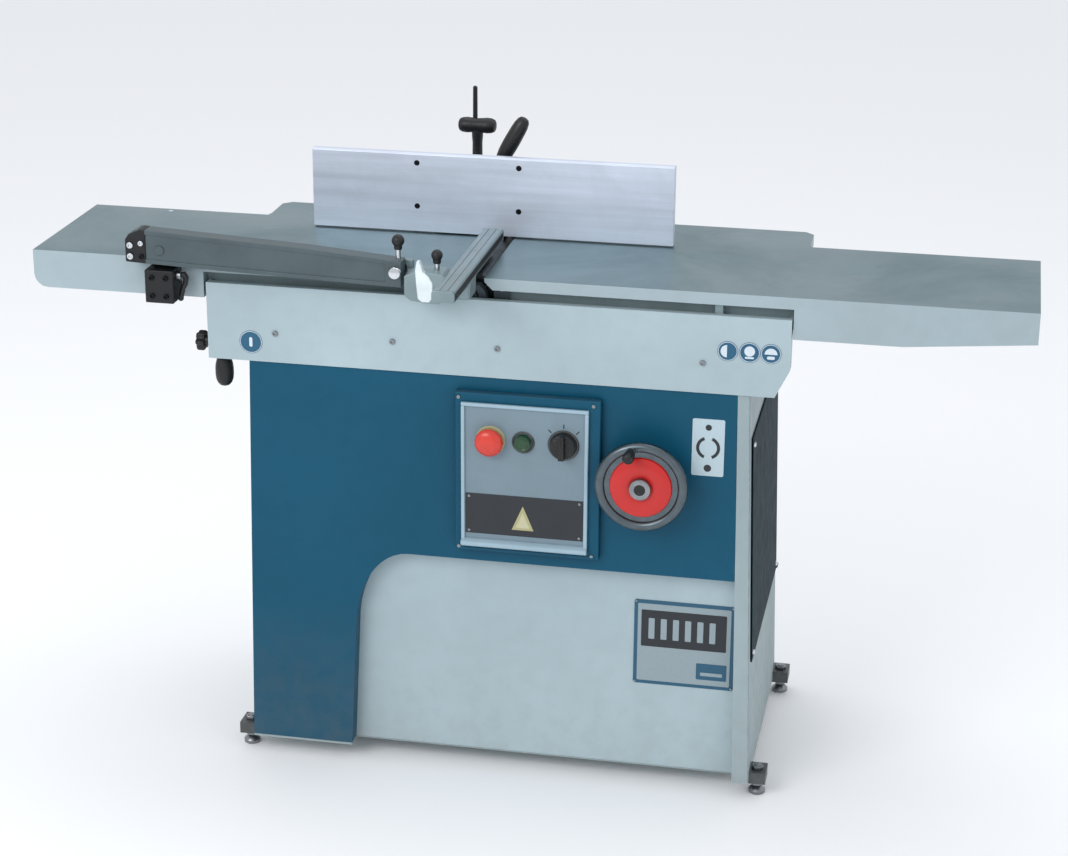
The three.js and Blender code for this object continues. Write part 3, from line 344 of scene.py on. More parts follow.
class Shape:
    """Collects closed solids, in the machine's millimetres, and makes one piece of them."""

    def __init__(self):
        self.bm = bmesh.new()

    def _face(self, corners, slot):
        self.bm.faces.new(corners).material_index = slot

    def prism(self, axis, outline, low, high, slot=0):
        """An outline in the two other axes (in X, Y, Z order), pulled along the axis."""
        u, v, w = AXES[axis]
        rings = []
        for depth in (low, high):
            rings.append([self.bm.verts.new(u * a + v * b + w * depth) for a, b in outline])
        count = len(outline)
        self._face(rings[0], slot)
        self._face(rings[1][::-1], slot)
        for i in range(count):
            j = (i + 1) % count
            self._face((rings[0][j], rings[0][i], rings[1][i], rings[1][j]), slot)
        return self

    def box(self, x0, x1, y0, y1, z0, z1, slot=0):
        return self.prism("z", [(x0, y0), (x1, y0), (x1, y1), (x0, y1)], z0, z1, slot)

    def turn(self, axis, centre, profile, steps=48, slot=0, lobes=0, depth=0.0):
        """A turned solid from [radius, height] pairs; a zero radius makes a pole. With lobes, the
        radius rises and falls round the axis by depth."""
        u, v, w = AXES[axis]
        base = Vector(centre)
        rings = []
        for radius, height in profile:
            if radius <= 1e-6:
                rings.append([self.bm.verts.new(base + w * height)])
                continue
            ring = []
            for i in range(steps):
                a = 2 * pi * i / steps
                r = radius + depth * cos(a * lobes)
                across = u * (r * cos(a)) + v * (r * sin(a))
                ring.append(self.bm.verts.new(base + w * height + across))
            rings.append(ring)
        pairs = list(zip(rings, rings[1:]))
        if profile[0][0] > 1e-6:
            pairs.append((rings[-1], rings[0]))
        for a, b in pairs:
            for i in range(steps):
                j = (i + 1) % steps
                corners = (a[i % len(a)], a[j % len(a)], b[j % len(b)], b[i % len(b)])
                corners = list(dict.fromkeys(corners))  # a pole's corner counts once
                if len(corners) > 2:
                    self._face(corners, slot)
        return self

    def rod(self, axis, centre, radius, low, high, steps=32, slot=0, chamfer=0.0):
        c = min(chamfer, radius * 0.6, (high - low) * 0.45)
        if c > 0:
            profile = [(0, low), (radius - c, low), (radius, low + c), (radius, high - c),
                       (radius - c, high), (0, high)]
        else:
            profile = [(0, low), (radius, low), (radius, high), (0, high)]
        return self.turn(axis, centre, profile, steps, slot)

    def ball(self, centre, radius, steps=28, slot=0):
        profile = circle(0, 0, radius, 16, -pi / 2, pi)
        return self.turn("z", centre, profile, steps, slot)

    def sweep(self, points, radii, steps=16, slot=0):
        """A round bar along points, with a radius at each."""
        points = [Vector(p) for p in points]
        side = None
        rings = []
        for i, p in enumerate(points):
            forward = (points[min(i + 1, len(points) - 1)] - points[max(i - 1, 0)]).normalized()
            if side is None:
                side = forward.orthogonal().normalized()
            side = (side - forward * side.dot(forward)).normalized()
            other = forward.cross(side)
            rings.append([self.bm.verts.new(p + (side * cos(a) + other * sin(a)) * radii[i])
                          for a in (2 * pi * k / steps for k in range(steps))])
        self._face(rings[0][::-1], slot)
        self._face(rings[-1], slot)
        for a, b in zip(rings, rings[1:]):
            for k in range(steps):
                m = (k + 1) % steps
                self._face((a[k], a[m], b[m], b[k]), slot)
        return self

    def make(self, name, materials, body, bevel=0.0, segments=2, node=None, angle=32, move=None):
        """The piece; with node it stands in for that CAD node."""
        bmesh.ops.recalc_face_normals(self.bm, faces=self.bm.faces)
        if move is not None:
            bmesh.ops.transform(self.bm, matrix=move, verts=self.bm.verts)
        for vert in self.bm.verts:
            vert.co = at(*vert.co)
        piece(name, self.bm, materials, body, bevel, segments, node, angle)


def add_object(name, data):
    obj = bpy.data.objects.new(name, data)
    bpy.context.scene.collection.objects.link(obj)
    return obj


def piece(name, bm, materials, body, bevel, segments, node, angle):
    """Makes an object of a mesh, rounds its sharp edges and lets it ride on a body."""
    mesh = bpy.data.meshes.new(name)
    for face in bm.faces:
        face.smooth = True
    for edge in bm.edges:
        edge.smooth = len(edge.link_faces) == 2 and edge.calc_face_angle(0) < radians(angle)
    bm.to_mesh(mesh)
    bm.free()
    obj = add_object(name, mesh)
    for material in materials if isinstance(materials, list) else [materials]:
        mesh.materials.append(material)
    if bevel > 0:
        mod = obj.modifiers.new("round_edges", "BEVEL")
        mod.width = bevel / 1000
        mod.segments = segments
        mod.limit_method = "ANGLE"
        mod.angle_limit = radians(angle)
        mod.harden_normals = True
        mod.miter_outer = "MITER_ARC"
    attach(obj, body)
    if node:
        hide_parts(node)


def carry(node, materials, bevel=1.2, segments=2, angle=32, pick=None, split=False):
    """A CAD node's own shape with rounded edges and a finish. pick(centre, normal) gives the
    material's index for a face, from its centre in the machine's millimetres. split keeps
    faces with openings in them as triangles."""
    source = nodes[node]
    bm = bmesh.new()
    bm.from_mesh(source.data)
    bmesh.ops.remove_doubles(bm, verts=bm.verts, dist=2e-6)
    bmesh.ops.dissolve_limit(bm, angle_limit=radians(0.6), verts=bm.verts, edges=bm.edges)
    if pick:
        for face in bm.faces:
            centre = (face.calc_center_median() - ORIGIN) * 1000
            face.material_index = pick(centre, face.normal)
    if split:
        bmesh.ops.triangulate(bm, faces=[face for face in bm.faces if len(face.verts) > 4])
    piece(node + "_skin", bm, materials, source["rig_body"], bevel, segments, node, angle)


def circle(cx, cy, radius, steps=40, start=0.0, sweep=2 * pi):
    """Points round a full circle, or along an arc from start through sweep."""
    closed = abs(sweep - 2 * pi) < 1e-6
    count = steps if closed else steps + 1
    angles = [start + sweep * i / steps for i in range(count)]
    return [(cx + radius * cos(a), cy + radius * sin(a)) for a in angles]


def rounded(u0, u1, v0, v1, radius, steps=6):
    """A rectangle with round corners."""
    points = []
    for cu, cv, start in ((u1 - radius, v1 - radius, 0), (u0 + radius, v1 - radius, 1),
                          (u0 + radius, v0 + radius, 2), (u1 - radius, v0 + radius, 3)):
        points += circle(cu, cv, radius, steps, start * pi / 2, pi / 2)
    return points


def screw(name, axis, place, radius, body, out=-1, material=None, kind="hex", high=None):
    """A screw head standing out from a surface: hex head with washer, socket head, or pan head."""
    shape = Shape()
    high = high or radius * 0.7

    def flip(profile):
        return [(r, z * out) for r, z in profile]

    if kind == "hex":
        washer = [(0, -0.4), (radius * 1.45, -0.4), (radius * 1.45, 1.0), (radius * 1.35, 1.4), (0, 1.4)]
        head = [(0, 1.2), (radius, 1.2), (radius, high + 0.7), (radius * 0.85, high + 1.4), (0, high + 1.4)]
        shape.turn(axis, place, flip(washer), 32, 1)
        shape.turn(axis, place, flip(head), 6)
    elif kind == "socket":
        inner = radius * 0.5
        shape.turn(axis, place, flip([
            (0, -0.4), (radius * 0.92, -0.4), (radius, 0.4), (radius, high - 0.5), (radius * 0.9, high),
            (inner, high), (inner, high * 0.4), (0, high * 0.4)]), 30)
    else:
        shape.turn(axis, place, flip([
            (0, -0.4), (radius, -0.4), (radius, high * 0.35), (radius * 0.86, high * 0.8),
            (radius * 0.5, high), (0, high)]), 28)
    shape.make(name, [material or STEEL, STEEL], body, 0.25, 1)


def screws(name, axis, places, radius, body, out, material, kind, high):
    """A screw at each place, numbered from 1."""
    for i, place in enumerate(places):
        screw(f"{name}_{i + 1}", axis, place, radius, body, out, material, kind, high)


def on_face(y, pairs):
    """Places on a face that lies at y, from pairs of x and z."""
    return [(x, y, z) for x, z in pairs]


def spoke(angle):
    """The way out from an axis at an angle, and the way across it."""
    return Vector((cos(angle), sin(angle))), Vector((-sin(angle), cos(angle)))


def lerp(a, b, t):
    return a + (b - a) * t


# ---------- cabinet

BASE_LOW, BASE_HIGH = 30, 708  # heights of the cabinet's lower and upper edge
BASE_RIGHT = (353, 331)  # x of its right face at those heights
BASE_LEFT = (-493, -478)
BASE_BACK = 431  # y of its back; the front is at 0
LUG_TOP = 62  # above the lugs over the feet
SIDE_SCREWS = [(36, 254), (406, 254), (36, 614), (406, 614)]
DOOR_BACK = 434.4
DOOR_SCREWS = [(-405, 108), (-405, 582), (312, 108), (312, 582)]
LATCH = (312, 434.6, 234)
GLAND = (250, BASE_BACK, 62)
LOUVRE_LEFT, LOUVRE_RIGHT, LOUVRE_LOW, LOUVRE_PITCH = -120, 80, 430, 15


def side_face(side, z):
    """x of the cabinet's right (1) or left (-1) face, which lean in towards the top."""
    low, high = BASE_RIGHT if side > 0 else BASE_LEFT
    return lerp(low, high, (z - BASE_LOW) / (BASE_HIGH - BASE_LOW))


def base_part(centre, normal):
    """The lugs that stand out over the feet are bare steel."""
    outside = centre.x > BASE_RIGHT[0] + 3 or centre.x < BASE_LEFT[0] - 1
    return int(centre.z < LUG_TOP and outside)


def levelling_foot(number):
    node = f"levelling_foot_{number}"
    low, high = mm_box(node)
    place = ((low.x + high.x) / 2, (low.y + high.y) / 2, 0)
    thread = [(0, 12.8)]
    for crest in range(24):
        z = 13 + crest * 1.6
        thread += [(5.3, z), (6.0, z + 0.8)]
    thread += [(5.3, 51.4), (0, 52)]
    foot = Shape()
    foot.turn("z", place, [
        (0, 0), (12.5, 0), (14, 1.2), (14, 6), (12.8, 7.5), (9, 11.5), (6.2, 13), (0, 13)], 40)
    foot.turn("z", place, thread, 24, 1)
    foot.rod("z", place, 10.5, 14.5, 21.5, 6, 1, 0.8)
    foot.make(f"foot_{number}", [STEEL, STEEL], "frame", node=node)
    nut = Shape().rod("z", place, 10, 44.1, 50, 6, 0, 0.8)
    nut.make(f"foot_nut_{number}", STEEL, "frame")


def door_latch():
    x, y, z = LATCH
    latch = Shape()
    latch.turn("y", LATCH, [
        (0, -8), (8, -8), (8, 0.2), (15.5, 0.4), (16, 1.6), (15, 4.6), (9, 5), (0, 5)], 40)
    latch.prism("y", rounded(x - 12, x + 38, z - 4, z + 4, 3.9), y + 4, y + 16.4)
    latch.make("latch_knob", BLACK, "latch", 0.8, node="door_latch")


def cable_gland():
    gland = Shape().rod("y", GLAND, 10.8, -14, 0.2)
    gland.rod("y", GLAND, 14.8, 0.3, 9, 6, 0, 1.0)
    gland.turn("y", GLAND, [(0, 8.8), (11.4, 8.8), (11.6, 14), (9.6, 19.6), (6, 20), (5, 16), (0, 16)],
               24, lobes=12, depth=0.4)
    gland.make("gland", BLACK, "frame", 0.3, node="cable_gland")


def louvres():
    vents = Shape()
    for i in range(9):
        z = LOUVRE_LOW + i * LOUVRE_PITCH
        blade = [(433.9, z), (440, z - 5), (440.6, z - 4), (435.0, z + 2.4), (433.9, z + 2.4)]
        vents.prism("x", blade, LOUVRE_LEFT, LOUVRE_RIGHT)
    vents.make("door_louvres", GREY, "door", 0.5)


# The cabinet's darker grey is painted shade on its corner post and sides.
carry("base_cabinet", [SHADED_BASE_GREY, SHADE_STEEL], 1.6, pick=base_part, split=True)
carry("front_cover", BLUE, 2.2, 3)
carry("lower_panel", GREY, 1.0)
carry("side_panel_right", TEAL, 2.0)
carry("side_panel_left", TEAL, 1.2)
carry("rear_door", GREY, 1.4)
for side, label in ((1, "right"), (-1, "left")):
    places = [(side_face(side, z) + side * 3.4, y, z) for y, z in SIDE_SCREWS]
    screws(f"side_screw_{label}", "x", places, 4.5, "frame", side, CHROME, "pan", 3)
for i in range(4):
    levelling_foot(i + 1)
door_latch()
cable_gland()
louvres()
screws("door_screw", "y", on_face(DOOR_BACK, DOOR_SCREWS), 5, "door", 1, STEEL, "pan", 3)


# ---------- bed, apron and chips

APRON_FRONT = -4
APRON_SCREWS = [(-432, 757), (-239, 757), (-69, 757), (256, 757)]
THROAT_SIDES = (("right", -79, -54), ("left", -180, -153))  # beside the front bearing
SPIGOT = (0, 220, 555)


def chip_screen(label, x0, x1):
    """A folded plate that closes the gap between the bearing and the bed."""
    front, low, high, sheet = 15.6, 794.9, 845.5, 2
    screen = Shape().box(x0, x1, front, front + sheet, low, high)
    screen.box(x0, x1, front, 24, low, low + sheet)
    screen.make(f"chip_screen_{label}", DARK_CAST, "frame", 0.5)


def round_sign(name, x, z, radius, mark):
    """A generic round sign: a blue disc with a pale ring and a plain mark."""
    raised, sunk = APRON_FRONT - 0.75, APRON_FRONT - 0.4
    sign = Shape().rod("y", (x, APRON_FRONT, z), radius, -0.5, 0.1, 56)
    sign.turn("y", (x, APRON_FRONT, z), [
        (radius - 1.8, -0.75), (radius - 0.9, -0.75), (radius - 0.9, -0.4), (radius - 1.8, -0.4)], 56, 1)
    if mark == "bar":
        sign.prism("y", rounded(x - 2.6, x + 2.6, z - 8, z + 8, 2.4), raised, sunk, 1)
    elif mark == "left":
        sign.prism("y", circle(x - 1, z, radius * 0.62, 24, pi / 2, pi), raised, sunk, 1)
    elif mark == "top":
        sign.prism("y", circle(x, z - 1, radius * 0.62, 24, 0, pi), raised, sunk, 1)
        sign.prism("y", rounded(x - 6, x + 6, z - 9, z - 4, 2), raised, sunk, 1)
    else:
        sign.rod("y", (x, APRON_FRONT, z + 2), radius * 0.5, -0.75, -0.4, 32, 1)
        sign.prism("y", rounded(x - 7, x + 7, z - 10, z - 7, 1.4), raised, sunk, 1)
    sign.make(name, [SIGN_BLUE, SIGN_WHITE], "frame")


def dust_spigot():
    """The chip outlet: a ribbed pipe end with a flange on the left side panel."""
    mouth, end = (corner.x for corner in mm_box("dust_spigot"))
    wall = side_face(-1, 495) - 2.5
    bore, pipe, rib, flange = 57.5, 59.8, 61, 74
    spigot = Shape()
    spigot.turn("x", SPIGOT, [
        (bore, end), (bore, mouth + 2), (58.5, mouth), (60.6, mouth), (61.4, mouth + 2), (61.4, mouth + 5),
        (pipe, mouth + 7), (pipe, mouth + 22), (rib, mouth + 24), (rib, mouth + 27), (pipe, mouth + 29),
        (pipe, wall - 5), (63, wall - 3.4), (73, wall - 3), (flange, wall - 2.2), (flange, wall),
        (pipe, wall), (pipe, end)], 72)
    spigot.make("spigot", DARK_CAST, "frame", node="dust_spigot")
    corners = circle(SPIGOT[1], SPIGOT[2], 67.5, 4, pi / 4)
    places = [(wall - 3, y, z) for y, z in corners]
    screws("spigot_screw", "x", places, 4, "frame", -1, STEEL, "pan", 2.6)


carry("bed_casting", BED_CAST, 2.0)
carry("belt_guard", DARK_CAST, 1.5)
carry("bearing_front", DARK_CAST, 1.2)
carry("bearing_rear", DARK_CAST, 1.2)
for label, x0, x1 in THROAT_SIDES:
    chip_screen(label, x0, x1)
carry("apron", GREY, 1.6, 3)
carry("dust_chute", DARK_CAST, 0.8)
carry("motor_plate", DARK_CAST, 1.0)
carry("drive_belt", RUBBER, 0.5, angle=60)
screws("apron_screw", "y", on_face(APRON_FRONT, APRON_SCREWS), 4.6, "frame", -1, STEEL, "socket", 3.2)
round_sign("sign_left", -473, 740, 19, "bar")
round_sign("sign_right_1", 294, 779, 16, "left")
round_sign("sign_right_2", 328, 779, 16.5, "dot")
round_sign("sign_right_3", 361, 779, 16, "top")
dust_spigot()


# ---------- motor and cutterblock

MOTOR = Vector((-60, 0, 250))
CUTTER = Vector((-116, 0, 835))
MOTOR_RADIUS = 73


def motor_body():
    motor = Shape().turn("y", MOTOR, [(0, 106), (58, 106), (64, 108), (72, 124), (72, 134), (0, 134)], 64)
    motor.rod("y", MOTOR, MOTOR_RADIUS, 133, 358, 64)
    motor.turn("y", MOTOR, [(14.4, 357), (78, 357), (78, 362), (62, 372), (14.4, 372)], 64)
    fins = 28
    for k in range(fins):
        out, side = spoke(2 * pi * k / fins)
        foot, tip = MOTOR.xz + out * 71, MOTOR.xz + out * 79.5
        motor.prism("y", [foot + side * 1.2, foot - side * 1.2, tip - side * 0.9, tip + side * 0.9], 140, 352)
    motor.box(MOTOR.x - 68, MOTOR.x + 68, 165, 325, 160.2, 172)
    motor.box(MOTOR.x - 34, MOTOR.x + 34, 195, 288, 318, 354.6)
    motor.make("motor", MOTOR_PAINT, "frame", 0.8, 1, node="motor_housing")


def grooved_pulley(name, node, centre, radius, bore, body):
    front, back, grooves, pitch = 402.2, 425.8, 5, 3.4
    profile = [(bore, front), (radius + 1.8, front), (radius + 2, front + 0.8), (radius + 2, front + 1.4),
               (radius, front + 2.2)]
    for k in range(grooves):
        y = 406 + k * pitch
        profile += [(radius, y), (radius - 2, y + 1.2), (radius, y + 2.4)]
    profile += [(radius, back - 2.2), (radius + 2, back - 1.4), (radius + 1.8, back), (bore, back)]
    pulley = Shape().turn("y", centre, profile, 56)
    pulley.make(name, STEEL, body, node=node)


motor_body()
grooved_pulley("pulley_upper", "cutter_pulley", CUTTER, 26, 12.3, "cutter")
grooved_pulley("pulley_lower", "motor_pulley", MOTOR, 39, 14.3, "motor_shaft")
carry("cutterblock", OILED_STEEL, 0.5, 1, angle=25)
for i in range(3):
    carry(f"knife_{i + 1}", POLISHED, 0.2, 1)
rotor = Shape().rod("y", MOTOR, 14, 154, 426, 40, 0, 1)
rotor.make("rotor_shaft", STEEL, "motor_shaft", node="motor_rotor")


# ---------- tables

TABLE_TOP = 870
TABLE_FRONT, TABLE_BACK, TABLE_LEFT, TABLE_RIGHT = 1, 287, -812, 755  # just inside the outer walls
PLUG = (-698, 274, TABLE_TOP)


def table_part(centre, normal):
    """The ground top, the painted outer walls, and the ribs and underside."""
    if normal.z > 0.99 and centre.z > TABLE_TOP - 2:
        return 1
    across = TABLE_FRONT <= centre.y <= TABLE_BACK
    along = TABLE_LEFT <= centre.x <= TABLE_RIGHT
    return 2 if across and along else 0


carry("outfeed_table", [IRON_PAINT, TABLE, UNDERSIDE], 1.4, pick=table_part)
carry("infeed_table", [IRON_PAINT, TABLE, UNDERSIDE], 1.4, pick=table_part)
plug = Shape().turn("z", PLUG, [(0, 0.02), (4.2, 0.02), (4.2, 0.35), (3.4, 0.5), (0, 0.5)], 28)
plug.make("table_plug", SIGN_PALE, "outfeed")
carry("lift_screw", STEEL, 0.5, 1, angle=50)
carry("lift_nut", BRONZE, 0.8)


# ---------- control panel

PLATE_LEFT, PLATE_RIGHT, PLATE_LOW, PLATE_HIGH = -125, 81, 424, 669
PLATE_FACE = -16.6
BAND_LEFT, BAND_RIGHT, BAND_LOW, BAND_HIGH = -118, 74, 446, 515
BAND_SCREWS = [(-112, 451), (68, 451), (-112, 510), (68, 510)]
BOX_SCREWS = [(-129.6, 420), (88, 420), (-129.6, 676), (88, 676)]
SWITCH_Y, SWITCH_Z = -17.3, 608
STOP_X, START_X, SELECTOR_X = -77, -24, 41


def switch_plate():
    plate = Shape().box(PLATE_LEFT, PLATE_RIGHT, PLATE_FACE, -14.4, PLATE_LOW, PLATE_HIGH)
    plate.make("switch_plate", PANEL_GREY, "frame", 0.6, node="control_plate")
    rim = Shape()
    for x0, x1, z0, z1 in ((PLATE_LEFT, PLATE_RIGHT, PLATE_HIGH - 6, PLATE_HIGH),
                           (PLATE_LEFT, PLATE_LEFT + 6, PLATE_LOW + 6, PLATE_HIGH - 6),
                           (PLATE_RIGHT - 6, PLATE_RIGHT, PLATE_LOW + 6, PLATE_HIGH - 6)):
        rim.box(x0, x1, -20.2, -16, z0, z1)
    rim.make("switch_rim", TRIM, "frame", 1.6, 3)
    rounded_edge = [(-16, 424), (-22, 424), (-25.5, 427), (-25.5, 432), (-22, 435), (-16, 437)]
    sill = Shape().prism("x", rounded_edge, PLATE_LEFT, PLATE_RIGHT)
    sill.make("switch_sill", TRIM, "frame", 1.4, 3)
    drip = [(-17, 416.5), (-15.5, 415.5), (-13.8, 415.5), (-13.8, 421), (-15.5, 420)]
    Shape().prism("x", drip, -128, 92).make("box_lip", BLUE, "frame", 0.5)


def dark_band():
    """A dark strip with a plain two-part triangle."""
    band = Shape().box(BAND_LEFT, BAND_RIGHT, -17.4, -16.2, BAND_LOW, BAND_HIGH)
    band.make("dark_band", SIGN_DARK, "frame", 0.4)
    middle = -24
    triangle = Shape()
    triangle.prism("y", [(middle - 18, 457), (middle + 18, 457), (middle, 499)], -18.0, -17.2, 0)
    triangle.prism("y", [(middle - 11.5, 461), (middle + 11.5, 461), (middle, 488)], -18.3, -17.6, 1)
    triangle.make("band_triangle", [SIGN_YELLOW, SIGN_SAND], "frame", 0.2, 1)


def bezel(name, x, bore, outer, material):
    ring = Shape().turn("y", (x, 0, SWITCH_Z), [
        (bore, SWITCH_Y + 0.7), (outer - 0.8, SWITCH_Y + 0.7), (outer, SWITCH_Y),
        (outer - 1.6, SWITCH_Y - 1.9), (bore + 1.4, SWITCH_Y - 2.1), (bore, SWITCH_Y - 1.3)], 56)
    ring.make(f"{name}_bezel", material, "frame")


def selector_ticks():
    ticks = Shape()
    middle = Vector((SELECTOR_X, SWITCH_Z))
    for degrees in (135, 90, 45):
        out, side = spoke(radians(degrees))
        side *= 0.8
        near, far = middle + out * 28, middle + out * 35
        ticks.prism("y", [near + side, near - side, far - side, far + side], -17.0, -16.4)
    ticks.make("selector_ticks", SIGN_DARK, "frame")


def stop_button():
    place = (STOP_X, SWITCH_Y, SWITCH_Z)
    stop = Shape()
    stop.turn("y", place, [
        (0, -24), (6, -23.8), (12, -23), (17, -21.2), (20.6, -18.6), (22.6, -15.6), (23, -13),
        (22.2, -10.6), (20, -9.2), (11, -8.2), (0, -8.2)], 56)
    stop.rod("y", place, 11, -9, 24, 40, 1)
    stop.make("stop_mushroom", [RED_PLASTIC, BLACK], "stop", node="stop_button")


def start_button():
    start = Shape()
    start.turn("y", (START_X, SWITCH_Y, SWITCH_Z), [
        (0, -9.4), (8, -9.6), (10, -11), (12.2, -10.6), (13, -9), (13, 22), (0, 22)], 44)
    start.make("start_push", GREEN_PLASTIC, "start", node="start_button")


def selector_knob():
    x = SELECTOR_X
    knob = Shape()
    knob.turn("y", (x, SWITCH_Y, SWITCH_Z), [
        (0, -12.6), (17.6, -12.4), (20, -11), (22.3, -3), (22.5, -1), (8, -1), (8, 24), (0, 24)], 72)
    handle = [(x - 4.8, 590), (x + 4.8, 590), (x + 4, 628), (x, 630), (x - 4, 628)]
    knob.prism("y", handle, SWITCH_Y - 24, SWITCH_Y - 11)
    pointer = [(x - 0.7, 612), (x + 0.7, 612), (x + 0.7, 627), (x - 0.7, 627)]
    knob.prism("y", pointer, SWITCH_Y - 24, SWITCH_Y - 23, 1)
    knob.make("selector_handle", [BLACK, SIGN_WHITE], "selector", 1.0, node="selector_knob")


carry("control_box", BLUE, 3.0, 3)
switch_plate()
dark_band()
screws("band_screw", "y", on_face(-17.3, BAND_SCREWS), 2.6, "frame", -1, STEEL, "pan", 1.6)
screws("box_screw", "y", on_face(-14, BOX_SCREWS), 3.4, "frame", -1, STEEL, "pan", 2.2)
bezel("stop", STOP_X, 12.6, 24, SIGN_YELLOW)
bezel("start", START_X, 14.6, 18.5, SHADE_STEEL)
bezel("selector", SELECTOR_X, 9.2, 25.5, SHADE_STEEL)
selector_ticks()
stop_button()
start_button()
selector_knob()


# ---------- plates on the front

LOWER_FRONT = 28  # y of the recessed grey panel
LABEL_LEFT, LABEL_RIGHT, LABEL_LOW, LABEL_HIGH = 154, 319, 184, 334


def turning_plate():
    """A pale plate above the handwheel with two arcs and two dots."""
    x, z = 268.5, 616
    pale = Shape().prism("y", rounded(243, 294, 569, 664, 3), -0.9, 0.05)
    for start in (0.62 * pi, -0.38 * pi):
        outer = circle(x, z, 19, 24, start, 0.76 * pi)
        inner = circle(x, z, 14, 24, start, 0.76 * pi)
        pale.prism("y", outer + inner[::-1], -1.1, -0.8, 1)
    for dot_z, radius in ((582, 6), (650, 5)):
        pale.rod("y", (x, 0, dot_z), radius, -1.1, -0.8, 24, 1)
    pale.make("turning_plate", [SIGN_PALE, SIGN_DARK], "frame")


def label_plate():
    """A framed plate with six plain bars on a dark field and a small blue field."""
    label = Shape()

    def field(x0, x1, z0, z1, corner, proud, sunk, slot):
        label.prism("y", rounded(x0, x1, z0, z1, corner), LOWER_FRONT - proud, LOWER_FRONT - sunk, slot)

    field(LABEL_LEFT, LABEL_RIGHT, LABEL_LOW, LABEL_HIGH, 4, 1.4, -0.05, 0)
    field(LABEL_LEFT + 6, LABEL_RIGHT - 6, LABEL_LOW + 6, LABEL_HIGH - 6, 2, 1.9, 1.2, 1)
    field(166, 306, 252, 317, 2, 2.3, 1.7, 2)
    for k in range(6):
        field(178 + k * 20, 188 + k * 20, 266, 303, 1.5, 2.6, 2.1, 1)
    field(258, 308, 200, 229, 2, 2.3, 1.7, 0)
    field(265, 301, 207, 213, 1, 2.5, 2.1, 1)
    label.make("label_plate", [SIGN_FRAME, SIGN_GREY, SIGN_DARK], "frame", 0.3, 1)
    corners = [(x, z) for z in (LABEL_LOW + 3, LABEL_HIGH - 3) for x in (LABEL_LEFT + 3, LABEL_RIGHT - 3)]
    places = on_face(LOWER_FRONT - 1.4, corners)
    screws("label_rivet", "y", places, 2.2, "frame", -1, STEEL, "pan", 1.4)


turning_plate()
label_plate()


# ---------- handwheel

WHEEL = (170, -34, 559)
GRIP_RADIUS, GRIP_ANGLE = 62, 1.83  # the grip's place on the rim


def handwheel():
    rim_section = circle(66, -10, 8, 20)
    web = [(44, -12.5), (51, -12.5), (55, -11.4), (60, -12), (60, -7), (54, -6.2), (44, -3)]
    wheel = Shape().turn("y", WHEEL, rim_section, 96)
    wheel.turn("y", WHEEL, web, 96)
    wheel.turn("y", WHEEL, [(9.4, -6), (44.5, -6), (44.5, 0), (24, 4), (20, 12), (9.4, 12)], 64)
    wheel.make("wheel_rim", RIM_STEEL, "wheel", node="handwheel")
    disc = Shape()
    disc.turn("y", WHEEL, [
        (14, -5.6), (48.4, -5.6), (50, -8), (50, -13), (48.4, -15.6), (42, -18), (31, -19.4), (22, -18.4),
        (14, -16)], 80)
    disc.make("wheel_centre", RED_ENAMEL, "wheel")
    hub = Shape()
    hub.turn("y", WHEEL, [
        (9.2, -16), (17, -16), (17.6, -17), (17.6, -23.6), (16.6, -25.4), (14, -26), (9.2, -26)], 56)
    hub.turn("y", WHEEL, [(0, -20), (13.6, -20), (13.6, -25.2), (12, -25.9), (0, -25.9)], 48, 1)
    hub.make("wheel_hub", [STEEL, BLACK], "wheel")


def wheel_grip():
    x = WHEEL[0] + GRIP_RADIUS * cos(GRIP_ANGLE)
    z = WHEEL[2] + GRIP_RADIUS * sin(GRIP_ANGLE)
    place = (x, WHEEL[1] - 18.6, z)
    grip = Shape()
    grip.turn("y", place, [
        (0, -36), (4, -35.8), (7.4, -33.8), (9.2, -30), (9.5, -25), (9, -18), (8, -10), (7.6, -4.4),
        (0, -4.4)], 40)
    grip.rod("y", place, 7.9, -4.6, -1.2, 40, 1)
    grip.make("wheel_grip_skin", [BLACK, CHROME], "wheel_grip", node="handwheel_grip")


handwheel()
carry("handwheel_shaft", STEEL, 0.5, 1, angle=50)
wheel_grip()


# ---------- knob and lever at the left

STAR = (0, 14, 731)
LOCK_X, LOCK_Y, LOCK_Z = -532, 34, 748


def star_knob():
    grip = [(0, -569), (10, -569), (13.4, -567.5), (14.6, -565), (14.6, -557), (13, -554.4), (0, -554.2)]
    star = Shape().turn("x", STAR, grip, 72, lobes=6, depth=2.2)
    star.rod("x", STAR, 9, -555, -546.2, 32, 0, 0.6)
    star.rod("x", STAR, 5, -547, -495, 24, 1)
    star.make("star_knob_skin", [BLACK, STEEL], "star_knob", node="outfeed_knob")


def outfeed_lock():
    lock = Shape().rod("y", (LOCK_X, LOCK_Y, LOCK_Z), 10, -8, 9.6, 32, 1, 1)
    lock.rod("z", (LOCK_X, LOCK_Y, 0), 4, 706, LOCK_Z, 20, 1)
    lock.turn("z", (LOCK_X, LOCK_Y, 649), [
        (0, 0), (4, 0.3), (8, 2), (11.6, 6), (14, 12), (15, 20), (15, 31), (14, 39), (12, 46), (9.4, 52),
        (7, 56), (0, 58)], 44)
    lock.make("lock_grip", [BLACK, STEEL], "lock", node="outfeed_lock")


star_knob()
outfeed_lock()


# ---------- fence

FENCE_LEFT, FENCE_RIGHT = -433, 173
FENCE_FRONT, FENCE_BACK, FENCE_LOW, FENCE_HIGH = 233.6, 249.6, 872.2, 1004.7
BRACKETS = (("left", -255), ("right", -84))
CLAMP_X, CLAMP_Y = -201, 452
POST_LOW = 906  # the support's dark post begins here


